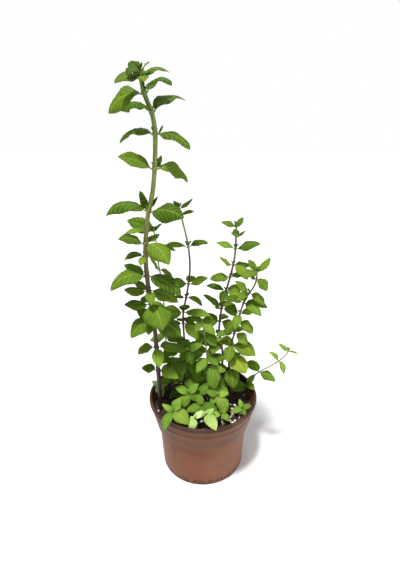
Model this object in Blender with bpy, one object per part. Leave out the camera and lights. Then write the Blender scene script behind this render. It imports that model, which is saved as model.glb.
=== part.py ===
"""Potted mint: a plastic nursery pot of soil with four tall stems, their leaf pairs and the young shoots.

All tables are in millimetres and degrees. The origin is the centre of the pot's underside, +Z is up and
-Y is the front. A heading is measured from +X towards +Y.
"""

from dataclasses import dataclass
from itertools import product
from math import cos, pi, radians, sin

import bmesh
import bpy
from mathutils import Vector
from mathutils.bvhtree import BVHTree

MM = 0.001

# Driving dimensions of the pot
RIM_RADIUS = 70.0
POT_HEIGHT = 105.0
BASE_RADIUS = 54.0
LIP_HEIGHT = 5.5
LIP_INSIDE = 66.4
COLLAR_TOP_RADIUS = 68.2
STEP_HEIGHT = 65.0
COLLAR_FOOT_RADIUS = 61.0
BODY_TOP_RADIUS = 57.5
WALL = 1.6
FLOOR = 2.0
FOOT_BEVEL = 1.5
STEP_FLARE = 1.5
STEP_ROUND = 0.8
STEP_INSIDE_DROP = 0.2
LIP_ROUND = 0.9
LIP_UNDERCUT = 0.4
POT_SIDES = 40
DRAIN_HOLES = 6
DRAIN_RADIUS = 3.5
DRAIN_RING = 36.0
DRAIN_SIDES = 12

# Driving dimensions of the soil
SOIL_TOP = 88.0
SOIL_BUMP = 1.6
SOIL_RINGS = (16.0, 34.0, 51.0)
SOIL_SIDES = 40
ROOT_DEPTH = 14.0
SHOOT_TAPER = 0.75
SOCKET_RISE = 6.0
SOIL_CORE = 4.0

# Fits and the make of stems and leaves
GAP = 0.3
STEM_SIDES = 8
STATION_STEP = 24.0
COLLAR_WALL = 1.0
NODE_HEIGHT = 1.8
BLADE_THICKNESS = 0.8
STALK_WIDTH = 1.2
CLEARANCE = 0.35
FACING = 0.1

# Share of a leaf's length, and its width there as a share of its greatest width
BLADE_OUTLINE = ((0.34, 1.0), (0.7, 0.78), (1.0, 0.08))
STALK_SHARE = 0.08
FULLNESS = 1.12

# How far a leaf that points sideways rolls its face to the light, which comes from the front
LEAN = 28.0

# How a leaf may grow aside when another stands in its way
TURNS = (0, 10, -10, 20, -20, 30, -30, 42, -42)
LIFTS = (0, 10, -10, 20, -20, 30, -30, 42, -42)
SIZES = (1.0, 0.88, 0.76, 0.62)
SIZE_COST = 90

# Stems: thickness at the foot and at the top, top height, and the route from the buried end
STEMS = {
    "main_stem": (5.4, 4.2, 474, [(-55, -12, 74), (-56, -14, 157), (-58, -17, 222), (-62, -19, 264),
                                  (-63, -20, 306), (-59, -18, 346), (-52, -17, 376), (-48, -15, 424),
                                  (-50, -14, 446), (-57, -14, 466), (-60, -14, 486)]),
    "second_stem": (2.8, 2.0, 336, [(-23, 14, 74), (-24, 17, 171), (-25, 18, 213), (-20, 19, 240),
                                    (-16, 20, 274), (-18, 20, 303), (-25, 20, 336), (-28, 20, 350)]),
    "right_stem": (3.0, 2.2, 306, [(27, 22, 74), (26, 24, 126), (26, 25, 152), (21, 25, 183),
                                   (24, 26, 220), (33, 28, 258), (38, 28, 285), (39, 28, 326)]),
    "forked_stem": (2.8, 2.0, 263, [(35, 6, 74), (34, 6, 129), (34, 6, 164), (42, 6, 205),
                                    (50, 5, 238), (61, 3, 260), (63, 2, 280)]),
}

# Leaf pairs held by a collar round a stem: node: (stem, height, leaves). A leaf is
# (heading, length, width as a share of length, slope at the stalk, slope at the tip), and sometimes an extra
# roll to the light.
PAIRS = {
    "main_leaves_13": ("main_stem", 466, [(168, 41, .66, 6, -62, 24), (330, 34, .48, 70, -52, -8)]),
    "main_leaves_12": ("main_stem", 449, [(215, 31, .54, 60, -56, -6), (35, 40, .46, 52, -26, -12)]),
    "main_leaves_11": ("main_stem", 429, [(160, 43, .42, 32, -64, -20), (335, 39, .48, 10, -54, -18),
                                          (30, 9, .30, 60, 50)]),
    "main_leaves_10": ("main_stem", 396, [(200, 35, .46, 34, 8, 18), (20, 38, .54, 12, -66, 8),
                                          (70, 17, .30, 45, 35)]),
    "main_leaves_9": ("main_stem", 353, [(190, 46, .42, 42, -55, -12), (340, 38, .54, 24, -36, 16),
                                         (150, 20, .40, 65, 55), (20, 17, .30, 75, 65)]),
    "main_leaves_8": ("main_stem", 318, [(200, 27, .50, 42, -12), (320, 36, .60, 6, -66),
                                         (45, 18, .42, 25, 10)]),
    "main_leaves_7": ("main_stem", 303, [(170, 24, .40, 25, -60), (350, 20, .40, 20, -30),
                                         (260, 16, .50, 15, -45)]),
    "main_leaves_6": ("main_stem", 280, [(205, 44, .44, 32, -62), (340, 42, .46, 0, -52),
                                         (160, 26, .46, 45, 18)]),
    "main_leaves_5": ("main_stem", 261, [(190, 24, .52, 20, 0), (350, 33, .50, 0, -45),
                                         (150, 20, .42, 35, 15), (285, 19, .56, 5, -60)]),
    "main_leaves_4": ("main_stem", 245, [(200, 27, .50, 22, -5), (300, 36, .84, 4, -80),
                                         (120, 26, .52, 10, -30)]),
    "main_leaves_3": ("main_stem", 224, [(205, 32, .58, -5, -68), (350, 36, .62, -10, -60),
                                         (150, 22, .58, 30, 0), (260, 20, .54, 0, -55)]),
    "main_leaves_2": ("main_stem", 185, [(185, 24, .50, 25, -80), (285, 24, .52, -15, -70),
                                         (20, 26, .52, 0, -50)]),
    "main_leaves_1": ("main_stem", 150, [(160, 20, .55, 20, -30), (340, 24, .52, 10, -35)]),
    "second_leaves_6": ("second_stem", 301, [(195, 27, .30, 25, -15), (15, 24, .36, 40, -35)]),
    "second_leaves_5": ("second_stem", 254, [(340, 25, .50, 40, 10), (200, 27, .52, 18, -20),
                                             (80, 22, .50, 20, -20)]),
    "second_leaves_4": ("second_stem", 235, [(15, 25, .40, 0, -78), (190, 14, .38, 15, 0)]),
    "second_leaves_3": ("second_stem", 216, [(340, 33, .36, 15, -12), (200, 22, .52, -5, -42),
                                             (90, 25, .50, 10, -30)]),
    "second_leaves_2": ("second_stem", 200, [(330, 28, .58, -15, -72), (20, 20, .52, 15, -35),
                                             (190, 22, .54, 5, -40), (100, 22, .54, 5, -40)]),
    "second_leaves_1": ("second_stem", 165, [(10, 30, .58, 5, -48), (195, 30, .58, 5, -50),
                                             (100, 28, .58, 5, -40), (280, 26, .58, -10, -62)]),
    "right_leaves_7": ("right_stem", 296, [(165, 22, .42, 25, 0), (340, 29, .46, 35, 0)]),
    "right_leaves_6": ("right_stem", 275, [(200, 20, .52, 25, 50), (330, 25, .62, -5, -80),
                                           (20, 22, .46, 5, -25)]),
    "right_leaves_5": ("right_stem", 259, [(200, 24, .56, 8, -10), (30, 20, .44, 15, -20)]),
    "right_leaves_4": ("right_stem", 240, [(165, 24, .38, 32, -15), (335, 25, .46, 5, -42),
                                           (20, 23, .50, 12, -12), (250, 20, .50, 0, -45)]),
    "right_leaves_3": ("right_stem", 217, [(165, 27, .32, 45, 25), (205, 20, .68, 30, 5),
                                           (345, 20, .54, 0, -52), (80, 20, .54, 10, -20)]),
    "right_leaves_2": ("right_stem", 199, [(155, 21, .50, 22, -5), (205, 22, .56, 0, -35),
                                           (335, 22, .60, -10, -58), (60, 20, .54, 10, -25)]),
    "right_leaves_1": ("right_stem", 175, [(195, 32, .60, 15, -28), (250, 28, .60, 5, -40),
                                           (345, 22, .56, -10, -60), (80, 26, .58, 5, -35)]),
    "forked_leaves_7": ("forked_stem", 248, [(170, 20, .52, 50, 30), (220, 18, .52, 20, -10),
                                             (340, 21, .56, -10, -62)]),
    "forked_leaves_6": ("forked_stem", 235, [(0, 28, .42, 8, -35), (320, 26, .44, 0, -45),
                                             (190, 24, .44, 35, -10)]),
    "forked_leaves_5": ("forked_stem", 219, [(165, 25, .50, 45, 22), (240, 20, .52, -20, -75),
                                             (20, 18, .50, 20, -20)]),
    "forked_leaves_4": ("forked_stem", 209, [(340, 22, .66, -15, -62), (200, 22, .60, -25, -78)]),
    "forked_leaves_3": ("forked_stem", 192, [(340, 20, .72, -15, -75), (185, 22, .40, 20, -40),
                                             (60, 20, .56, 10, -25)]),
    "forked_leaves_2": ("forked_stem", 175, [(345, 32, .62, 10, -50), (165, 20, .46, 15, -20),
                                             (255, 23, .58, -10, -62)]),
    "forked_leaves_1": ("forked_stem", 156, [(320, 28, .74, 5, -62), (190, 27, .46, 18, -25),
                                             (60, 25, .58, 5, -40)]),
    "forked_leaves_0": ("forked_stem", 141, [(285, 27, .70, -20, -85), (180, 27, .56, 12, -38),
                                             (30, 25, .58, 0, -50)]),
}

# Tips that end a tall stem: node: (stem, height, whorls), a whorl being (height, leaves)
TIPS = {
    "main_tip": ("main_stem", 486, [
        (478, [(20, 29, .46, 58, -36, -8), (208, 26, .46, 24, -44, 20), (285, 16, .62, 25, -52),
               (110, 18, .58, 50, 10, 20)]),
        (484, [(140, 16, .62, 50, 8, 24), (320, 13, .58, 52, 8, 24), (235, 17, .62, 30, -60, 6)])]),
    "second_tip": ("second_stem", 348, [
        (339, [(350, 15, .46, 25, 5), (170, 14, .46, 25, 5), (260, 10, .50, 30, 0)]),
        (346, [(170, 11, .52, 60, 50), (15, 18, .32, 25, 45)])]),
    "right_tip": ("right_stem", 324, [
        (310, [(350, 13, .38, 40, 40), (255, 16, .56, 50, 15), (90, 15, .50, 35, 10)]),
        (322, [(40, 14, .46, 55, 38), (170, 18, .44, 28, 5), (270, 9, .50, 60, 45)])]),
    "forked_tip": ("forked_stem", 278, [
        (267, [(190, 16, .60, 45, 32), (335, 19, .70, -15, -80)]),
        (276, [(150, 17, .52, 55, 42), (35, 23, .36, 25, 50), (200, 22, .50, 32, 4)])]),
}

# Young shoots, each with its own stem: node: (thickness, top height, route, whorls)
SHOOTS = {
    "back_shoot": (2.0, 317, [(-46, 30, 74), (-49, 32, 159), (-51, 34, 240), (-55, 35, 273),
                              (-57, 36, 300), (-60, 36, 320)], [
        (315, [(170, 34, .56, 30, 10, 30), (195, 38, .26, 22, -25), (10, 13, .42, 50, 35),
               (330, 10, .44, 25, 10)]),
        (296, [(350, 24, .34, 5, -30), (170, 18, .34, 5, -30)]),
        (265, [(205, 24, .42, 70, 50), (20, 20, .44, -15, -60)]),
        (215, [(160, 24, .52, 10, -40), (340, 24, .52, 10, -40)]),
        (170, [(70, 24, .54, 10, -40), (160, 26, .56, 5, -50), (345, 26, .56, 5, -45)]),
        (130, [(30, 26, .58, 5, -40), (120, 24, .56, 5, -40), (300, 24, .58, 0, -50)])]),
    "trailing_shoot": (1.7, 170, [(56, 18, 74), (58, 17, 100), (62, 14, 114), (68, 12, 123),
                                  (75, 10, 132), (87, 6, 143), (98, 4, 153), (106, 2, 164),
                                  (108, 2, 172)], [
        (106, [(200, 26, .62, 22, -28), (300, 16, .70, 10, -55), (40, 18, .46, 40, 25)]),
        (131, [(150, 23, .58, 55, -25), (335, 24, .54, 8, -50)]),
        (152, [(160, 17, .38, 65, 10), (325, 19, .44, -40, -88)]),
        (168, [(160, 15, .44, 42, 28), (350, 13, .22, 8, -38)])]),
    "middle_shoot_left": (2.2, 176, [(-22, 4, 74), (-21, -1, 140), (-20, -4, 180)], [
        (174, [(175, 22, .58, 15, -15), (5, 20, .58, 32, 5), (290, 20, .62, -15, -62),
               (95, 19, .56, 30, -5)]),
        (155, [(205, 30, .62, -25, -85), (340, 29, .62, -15, -72), (20, 24, .58, 5, -25)]),
        (130, [(160, 27, .60, 5, -50), (60, 27, .60, 5, -45), (300, 24, .60, -5, -60)]),
        (107, [(20, 25, .60, 10, -30), (190, 24, .60, 10, -40)])]),
    "middle_shoot": (2.2, 208, [(4, 6, 74), (5, 4, 156), (2, 8, 186), (-2, 7, 212)], [
        (206, [(160, 15, .56, 35, 15), (20, 14, .56, 35, 18), (225, 14, .62, -5, -55),
               (335, 22, .60, 14, -32)]),
        (186, [(190, 17, .68, -5, -55), (345, 20, .62, -15, -65), (90, 22, .56, 10, -30)]),
        (157, [(205, 24, .58, -15, -60), (320, 20, .58, -15, -55), (20, 22, .52, 30, -5)]),
        (130, [(190, 27, .60, 5, -45), (80, 27, .60, 5, -40), (350, 27, .60, 5, -45)]),
        (107, [(120, 25, .60, 15, -30), (30, 25, .60, 15, -35), (200, 24, .60, 10, -40)])]),
    "middle_shoot_front": (2.0, 150, [(13, -7, 74), (12, -8, 120), (12, -6, 152)], [
        (148, [(275, 28, .60, -40, -98), (160, 20, .62, -5, -45), (20, 20, .60, -5, -45)]),
        (122, [(200, 24, .60, 0, -50), (340, 24, .60, 0, -50)])]),
    "low_shoot_left": (1.8, 146, [(-38, 8, 74), (-40, 6, 110), (-40, 6, 148)], [
        (144, [(200, 16, .48, 10, -50), (330, 25, .56, -35, -98), (165, 17, .46, 35, 5)]),
        (122, [(10, 23, .58, 10, -35), (195, 20, .56, 10, -40), (100, 20, .56, 10, -35)])]),
    "pale_shoot": (1.4, 107, [(-56, 13, 74), (-57, 13, 92), (-60, 14, 109)], [
        (105, [(160, 12, .62, 50, 15), (205, 15, .62, -10, -70), (20, 13, .60, 28, -15),
               (335, 17, .60, -25, -78)])]),
    "front_shoot_centre_left": (1.6, 123, [(-22, -22, 74), (-21, -24, 105), (-18, -22, 125)], [
        (121, [(165, 18, .60, 38, 5), (25, 18, .60, 55, 20), (335, 18, .60, 0, -52),
               (235, 20, .68, -20, -78)]),
        (106, [(200, 27, .62, -5, -75), (320, 20, .60, 0, -45), (90, 18, .60, 20, -20)])]),
    "front_shoot_left": (1.6, 113, [(-33, -36, 74), (-35, -40, 96), (-38, -46, 115)], [
        (111, [(240, 27, .42, 4, -100), (150, 16, .46, 38, 5), (330, 27, .66, 5, -68),
               (40, 20, .60, 55, 20)])]),
    "front_shoot_centre": (1.5, 113, [(-4, -30, 74), (-3, -32, 96), (-2, -34, 115)], [
        (111, [(190, 20, .52, 8, -28), (350, 20, .54, 8, -28), (120, 15, .62, 50, 15),
               (280, 12, .62, 5, -45)])]),
    "front_shoot_right": (1.5, 119, [(20, -20, 74), (19, -21, 96), (18, -22, 121)], [
        (117, [(165, 15, .62, 30, -5), (20, 15, .58, 22, -15), (320, 27, .62, -10, -74),
               (220, 15, .62, -10, -58)]),
        (101, [(75, 16, .58, 20, -20), (200, 15, .58, 10, -35)])]),
    "rim_shoot": (1.4, 113, [(3, -46, 74), (3, -48, 96), (3, -50, 115)], [
        (111, [(300, 25, .56, 8, -55), (165, 15, .62, -10, -48), (30, 12, .60, 35, 0)])]),
    "rim_shoot_left": (1.3, 110, [(-12, -49, 74), (-11, -51, 96), (-10, -53, 112)], [
        (108, [(250, 16, .62, -10, -75), (175, 16, .62, -5, -50), (30, 12, .60, 25, -10)])]),
    "rim_shoot_right": (1.3, 106, [(22, -36, 74), (22, -38, 96), (21, -40, 108)], [
        (104, [(200, 13, .62, 15, -30), (330, 14, .62, -5, -50), (30, 12, .60, 30, -5)])]),
    "seedling": (1.0, 99, [(50, -21, 74), (50, -21, 90), (50, -22, 101)], [
        (97, [(200, 16, .52, 8, -28), (10, 13, .56, 20, -12), (290, 11, .52, -5, -38),
              (110, 12, .52, 50, 30)])]),
}


@dataclass(frozen=True)
class Leaf:
    """One blade: heading, length, width share, slope at the stalk and at the tip, and extra roll."""

    heading: float
    length: float
    width: float
    rise: float
    fall: float
    roll: float = 0.0

    def grown_aside(self, turn, lift, size):
        return Leaf(self.heading + turn, self.length * size, self.width, self.rise + lift, self.fall + lift,
                    self.roll)

    def slope(self, share):
        return radians(self.rise + (self.fall - self.rise) * share)

    def direction(self, share):
        h, e = radians(self.heading), self.slope(share)
        return Vector((cos(h) * cos(e), sin(h) * cos(e), sin(e)))

    def level_side(self):
        h = radians(self.heading)
        return Vector((-sin(h), cos(h), 0))

    def across(self, share):
        """The blade's own sideways and upward directions, rolled towards the light beyond the stalk."""
        side, up = self.level_side(), self.direction(share).cross(self.level_side())
        roll = -radians(LEAN + self.roll) * cos(radians(self.heading)) * min(1, share / BLADE_OUTLINE[0][0])
        return side * cos(roll) - up * sin(roll), up * cos(roll) + side * sin(roll)

    def middle(self, base, share, steps=24):
        point = base.copy()
        for i in range(steps):
            point += self.direction((i + 0.5) / steps * share) * (self.length * share / steps)
        return point

    def stations(self, base, grow=0.0):
        """The blade's four-cornered sections from the stalk to the tip, made thicker all round by grow."""
        sections = []
        widest = self.width * FULLNESS * self.length
        for share, width in ((STALK_SHARE, STALK_WIDTH / widest), *BLADE_OUTLINE):
            centre = self.middle(base, share)
            side, up = self.across(share)
            half_width = width * widest / 2 + grow
            half_thick = BLADE_THICKNESS / 2 + grow
            sections.append([centre + side * s * half_width + up * u * half_thick for s, u in CORNERS])
        return sections


CORNERS = ((-1, -1), (1, -1), (1, 1), (-1, 1))


class Route:
    """A smooth line that climbs through the given points, read by its height."""

    def __init__(self, points):
        self.points = [Vector(p) for p in points]

    def slope(self, i):
        a = self.points[max(i - 1, 0)]
        b = self.points[min(i + 1, len(self.points) - 1)]
        return (b - a) / (b.z - a.z)

    def at(self, z):
        last = len(self.points) - 2
        i = next((n for n in range(last) if z < self.points[n + 1].z), last)
        a, b = self.points[i], self.points[i + 1]
        rise = b.z - a.z
        t = (z - a.z) / rise
        if not 0 <= t <= 1:
            end, n = (a, i) if t < 0 else (b, i + 1)
            return end + self.slope(n) * (z - end.z)
        m0, m1 = self.slope(i) * rise, self.slope(i + 1) * rise
        t2, t3 = t * t, t * t * t
        return a * (2 * t3 - 3 * t2 + 1) + m0 * (t3 - 2 * t2 + t) + b * (3 * t2 - 2 * t3) + m1 * (t3 - t2)

    def heading(self, z):
        return (self.at(z + 0.5) - self.at(z - 0.5)).normalized()


def ring_points(route, z, radius, turn):
    """Eight points round the route at height z; a flat of the ring faces the heading called turn."""
    along = route.heading(z)
    first = Vector((cos(turn), sin(turn), 0))
    first = (first - along * first.dot(along)).normalized()
    second = along.cross(first)
    half = pi / STEM_SIDES
    corner = radius / cos(half)
    angles = [half * (2 * i + 1) for i in range(STEM_SIDES)]
    return [route.at(z) + (first * cos(a) + second * sin(a)) * corner for a in angles]


class Bush:
    """Everything already placed, so that a new leaf can grow clear of it."""

    def __init__(self):
        self.grown = []

    def add(self, owner, verts, faces):
        low = [min(v[i] for v in verts) for i in range(3)]
        high = [max(v[i] for v in verts) for i in range(3)]
        self.grown.append((owner, low, high, BVHTree.FromPolygons(verts, faces)))

    def is_clear(self, owner, verts, faces):
        low = [min(v[i] for v in verts) for i in range(3)]
        high = [max(v[i] for v in verts) for i in range(3)]
        tree = None
        for other, other_low, other_high, other_tree in self.grown:
            if other == owner or any(low[i] > other_high[i] or other_low[i] > high[i] for i in range(3)):
                continue
            tree = tree or BVHTree.FromPolygons(verts, faces)
            if tree.overlap(other_tree):
                return False
        return True


def prism(sections):
    """The verts and faces of a closed body through sections that all have the same number of corners."""
    count = len(sections[0])
    verts = [v for section in sections for v in section]
    faces = [tuple(reversed(range(count))), tuple(range(len(verts) - count, len(verts)))]
    for s in range(len(sections) - 1):
        a, b = s * count, (s + 1) * count
        faces += [(a + i, a + (i + 1) % count, b + (i + 1) % count, b + i) for i in range(count)]
    return verts, faces


def best_variants():
    """Every way a leaf may grow aside, the smallest change first."""
    ways = product(SIZES, TURNS, LIFTS)
    return sorted(ways, key=lambda w: abs(w[1]) + abs(w[2]) + (1 - w[0]) * SIZE_COST)


VARIANTS = best_variants()


class Growth:
    """One node of the plant: a collar or a length of stem, with leaves drawn out of its flats."""

    def __init__(self, name, route, bottom, top, radius, whorls, colour, bore=0.0, marks=()):
        self.name = name
        self.route = route
        self.bottom = bottom
        self.top = top
        self.radius = radius
        self.whorls = [(z, [Leaf(*leaf) for leaf in leaves]) for z, leaves in whorls]
        self.colour = colour
        self.bore = bore
        self.marks = marks
        self.mesh = bmesh.new()
        self.sections = self.make_sections()
        self.leaf_flats = self.make_tube()

    def make_sections(self):
        """The rings as (height, turn, whorl): two at a whorl, one at a mark, and even steps between."""
        half = NODE_HEIGHT / 2
        fixed = [(self.bottom, None), (self.top, None)] + [(mark, None) for mark in self.marks]
        for whorl in self.whorls:
            fixed += [(whorl[0] - half, whorl), (whorl[0] + half, None)]
        fixed.sort(key=lambda f: (round(f[0], 4), f[1] is None))
        flat = 2 * pi / STEM_SIDES
        rings, turn = [], 0.0
        for z, whorl in fixed:
            if rings and z - rings[-1][0] < 0.01:
                continue
            if rings and rings[-1][2] is None:
                start = rings[-1][0]
                steps = int((z - start) // STATION_STEP)
                gap = (z - start) / (steps + 1)
                rings += [(start + gap * (i + 1), turn, None) for i in range(steps)]
            if whorl:
                turn += (radians(whorl[1][0].heading) - turn + flat / 2) % flat - flat / 2
            rings.append((z, turn, whorl))
        return rings

    def make_tube(self):
        """Builds the rings, and returns each whorl's ring of flats with its height."""
        bm = self.mesh
        loops = []
        for z, turn, _ in self.sections:
            points = ring_points(self.route, z, self.radius(z), turn)
            loops.append([bm.verts.new(p) for p in points])
        n = STEM_SIDES
        if self.bore:
            inner = [[bm.verts.new(p) for p in ring_points(self.route, z, self.bore, turn)]
                     for z, turn, _ in self.sections]
            for i in range(n):
                j = (i + 1) % n
                bm.faces.new((loops[0][j], loops[0][i], inner[0][i], inner[0][j]))
                bm.faces.new((loops[-1][i], loops[-1][j], inner[-1][j], inner[-1][i]))
                bm.faces.new((inner[0][i], inner[-1][i], inner[-1][j], inner[0][j]))
        else:
            bm.faces.new(list(reversed(loops[0])))
            bm.faces.new(loops[-1])
        flats = []
        for low, high, (_, _, whorl) in zip(loops, loops[1:], self.sections):
            ring = [bm.faces.new((low[i], low[(i + 1) % n], high[(i + 1) % n], high[i])) for i in range(n)]
            if whorl:
                flats.append((whorl, ring))
        bm.normal_update()
        return flats

    def solid(self):
        """The stem or collar without its leaves, as verts and faces."""
        return prism([ring_points(self.route, z, self.radius(z), turn) for z, turn, _ in self.sections])

    def grow_leaves(self, bush):
        """Draws each leaf out of the free flat nearest its heading, grown aside where it must be."""
        for (height, leaves), ring in self.leaf_flats:
            free = list(ring)
            for leaf in leaves:
                flat = max(free, key=lambda f: f.normal.dot(leaf.direction(0)))
                free.remove(flat)
                self.draw_leaf(bush, leaf, flat, height)

    def draw_leaf(self, bush, leaf, flat, height):
        base = flat.calc_center_median()
        for size, turn, lift in VARIANTS:
            trial = leaf.grown_aside(turn, lift, size)
            verts, faces = prism(trial.stations(base, CLEARANCE))
            if trial.direction(0).dot(flat.normal) > FACING and bush.is_clear(self.name, verts, faces):
                break
        else:
            print("No room for a leaf of", self.name, "at height", height, "heading", leaf.heading)
            return
        bush.add("leaf", *prism(trial.stations(base)))
        sections = trial.stations(base)
        first = sections[0]
        arms = [vert.co - base for vert in flat.verts]
        shift = max(range(4), key=lambda k: sum(arms[i].dot(first[(i + k) % 4] - base) for i in range(4)))
        for section in sections:
            flat = bmesh.ops.extrude_discrete_faces(self.mesh, faces=[flat])["faces"][0]
            for i, vert in enumerate(flat.verts):
                vert.co = section[(i + shift) % 4]

    def finish(self):
        return to_object(self.name, self.mesh, self.colour)


def principled(name, colour, roughness):
    """A plain Principled material."""
    material = bpy.data.materials.new(name)
    material.use_nodes = True
    shader = material.node_tree.nodes["Principled BSDF"]
    shader.inputs["Base Color"].default_value = (*colour, 1)
    shader.inputs["Roughness"].default_value = roughness
    return material


POT_PLASTIC = principled("pot_plastic", (0.29, 0.125, 0.08), 0.5)
SOIL = principled("soil", (0.035, 0.02, 0.012), 0.95)
STEM_BROWN = principled("stem_brown", (0.08, 0.035, 0.025), 0.5)
LEAF_DARK = principled("leaf_dark", (0.045, 0.16, 0.012), 0.5)
LEAF_MID = principled("leaf_mid", (0.12, 0.32, 0.03), 0.5)
LEAF_YOUNG = principled("leaf_young", (0.32, 0.55, 0.08), 0.5)


def to_object(name, mesh, material):
    """Turns a bmesh in millimetres into a named object in metres."""
    bmesh.ops.scale(mesh, vec=(MM, MM, MM), verts=mesh.verts)
    bmesh.ops.recalc_face_normals(mesh, faces=mesh.faces)
    data = bpy.data.meshes.new(name)
    mesh.to_mesh(data)
    mesh.free()
    data.materials.append(material)
    obj = bpy.data.objects.new(name, data)
    bpy.context.scene.collection.objects.link(obj)
    return obj


def turned(profile, sides):
    """A closed body turned about +Z from (radius, height) points that run from axis to axis."""
    bm = bmesh.new()
    verts = [bm.verts.new((r, 0, z)) for r, z in profile]
    edges = [bm.edges.new(pair) for pair in zip(verts, verts[1:])]
    bmesh.ops.spin(bm, geom=[*verts, *edges], cent=(0, 0, 0), axis=(0, 0, 1), angle=2 * pi,
                   steps=sides, use_merge=True)
    bmesh.ops.remove_doubles(bm, verts=bm.verts, dist=0.001)
    bmesh.ops.recalc_face_normals(bm, faces=bm.faces)
    return bm


def inner_radius(z):
    """The pot's inside radius at height z."""
    if z < STEP_HEIGHT + WALL:
        share = z / STEP_HEIGHT
        return BASE_RADIUS - WALL + (BODY_TOP_RADIUS - BASE_RADIUS) * min(share, 1)
    share = (z - STEP_HEIGHT) / (POT_HEIGHT - LIP_HEIGHT - STEP_HEIGHT)
    return COLLAR_FOOT_RADIUS - WALL + (COLLAR_TOP_RADIUS - COLLAR_FOOT_RADIUS) * share


def make_pot():
    """Rolled lip, tapered collar, step, body and a floor with drain holes."""
    lip_foot = POT_HEIGHT - LIP_HEIGHT
    outside = [(0, 0), (BASE_RADIUS - FOOT_BEVEL, 0), (BASE_RADIUS, FOOT_BEVEL),
               (BODY_TOP_RADIUS, STEP_HEIGHT - STEP_FLARE), (COLLAR_FOOT_RADIUS - STEP_ROUND, STEP_HEIGHT),
               (COLLAR_FOOT_RADIUS, STEP_HEIGHT + STEP_ROUND), (COLLAR_TOP_RADIUS, lip_foot),
               (RIM_RADIUS - LIP_UNDERCUT, lip_foot), (RIM_RADIUS, lip_foot + LIP_ROUND),
               (RIM_RADIUS, POT_HEIGHT - LIP_ROUND), (RIM_RADIUS - LIP_ROUND, POT_HEIGHT),
               (LIP_INSIDE + LIP_ROUND, POT_HEIGHT)]
    step_inside = STEP_HEIGHT + WALL
    inside = [(LIP_INSIDE, POT_HEIGHT - LIP_ROUND), (inner_radius(lip_foot), lip_foot),
              (inner_radius(step_inside), step_inside),
              (BODY_TOP_RADIUS - WALL, STEP_HEIGHT - STEP_INSIDE_DROP), (inner_radius(FLOOR), FLOOR),
              (0, FLOOR)]
    pot = to_object("pot", turned(outside + inside, POT_SIDES), POT_PLASTIC)
    holes = bmesh.new()
    for i in range(DRAIN_HOLES):
        angle = 2 * pi * i / DRAIN_HOLES
        made = bmesh.ops.create_cone(holes, cap_ends=True, segments=DRAIN_SIDES, radius1=DRAIN_RADIUS,
                                     radius2=DRAIN_RADIUS, depth=4 * FLOOR)["verts"]
        bmesh.ops.translate(holes, verts=made,
                            vec=(DRAIN_RING * cos(angle), DRAIN_RING * sin(angle), FLOOR / 2))
    cut(pot, to_object("drain_hole_cutter", holes, POT_PLASTIC))
    return pot


def cut(body, cutter):
    """Takes the cutter away from the body with a Boolean, and hides the cutter."""
    cutter.hide_render = True
    cutter.display_type = "WIRE"
    modifier = body.modifiers.new("holes", "BOOLEAN")
    modifier.operation = "DIFFERENCE"
    modifier.object = cutter
    modifier.solver = "EXACT"


def soil_height(x, y):
    """The uneven top of the soil."""
    broad = sin(x * 0.19 + 1.0) * cos(y * 0.16)
    middling = 0.6 * sin(x * 0.41 - y * 0.37)
    fine = 0.4 * cos(y * 0.62 + x * 0.23)
    return SOIL_TOP + (broad + middling + fine) * SOIL_BUMP / 2


def make_soil():
    """The root ball, which fills the pot to a little under its rim."""
    top_radius = inner_radius(SOIL_TOP) - GAP
    step_inside = STEP_HEIGHT + WALL
    profile = [(0, FLOOR + GAP), (inner_radius(FLOOR) - GAP, FLOOR + GAP),
               (BODY_TOP_RADIUS - WALL - GAP, STEP_HEIGHT + GAP),
               (inner_radius(step_inside) - GAP, step_inside + GAP), (top_radius, SOIL_TOP)]
    profile += [(r, SOIL_TOP) for r in reversed(SOIL_RINGS)] + [(0, SOIL_TOP)]
    bm = turned(profile, SOIL_SIDES)
    for vert in bm.verts:
        if abs(vert.co.z - SOIL_TOP) < 0.01 and vert.co.xy.length < top_radius - 1:
            vert.co.z = soil_height(vert.co.x, vert.co.y)
    return bm


def tapered(foot, tip, bottom, top):
    """A radius that narrows evenly from the foot's thickness to the tip's."""
    return lambda z: (foot + (tip - foot) * (z - bottom) / (top - bottom)) / 2


def plant_nodes():
    """Every stem, leaf pair, tip and shoot, before any leaf has grown."""
    bottom = SOIL_TOP - ROOT_DEPTH
    nodes, collars, tips, shoots = [], [], [], []
    for name, (foot, tip, top, points) in STEMS.items():
        marks = [height for stem, height, _ in PAIRS.values() if stem == name]
        nodes.append(Growth(name, Route(points), bottom, top, tapered(foot, tip, bottom, top), [],
                            STEM_BROWN, marks=marks))
    radius_of = {stem.name: stem.radius for stem in nodes}
    route_of = {stem.name: stem.route for stem in nodes}
    corner = 1 / cos(pi / STEM_SIDES)
    for name, (stem, height, leaves) in PAIRS.items():
        bore = radius_of[stem](height) * corner + GAP
        half = NODE_HEIGHT / 2
        collars.append(Growth(name, route_of[stem], height - half, height + half,
                              lambda z, r=bore + COLLAR_WALL: r, [(height, leaves)],
                              LEAF_DARK if stem == "main_stem" else LEAF_MID, bore))
    for name, (stem, top, whorls) in TIPS.items():
        start = STEMS[stem][2]
        tips.append(Growth(name, route_of[stem], start + GAP, top, lambda z, r=STEMS[stem][1] / 2: r,
                           whorls, LEAF_MID))
    for name, (thick, top, points, whorls) in SHOOTS.items():
        radius = tapered(thick, thick * SHOOT_TAPER, bottom, top)
        shoots.append(Growth(name, Route(points), bottom, top, radius, whorls, LEAF_YOUNG))
    return nodes, collars, tips, shoots


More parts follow.
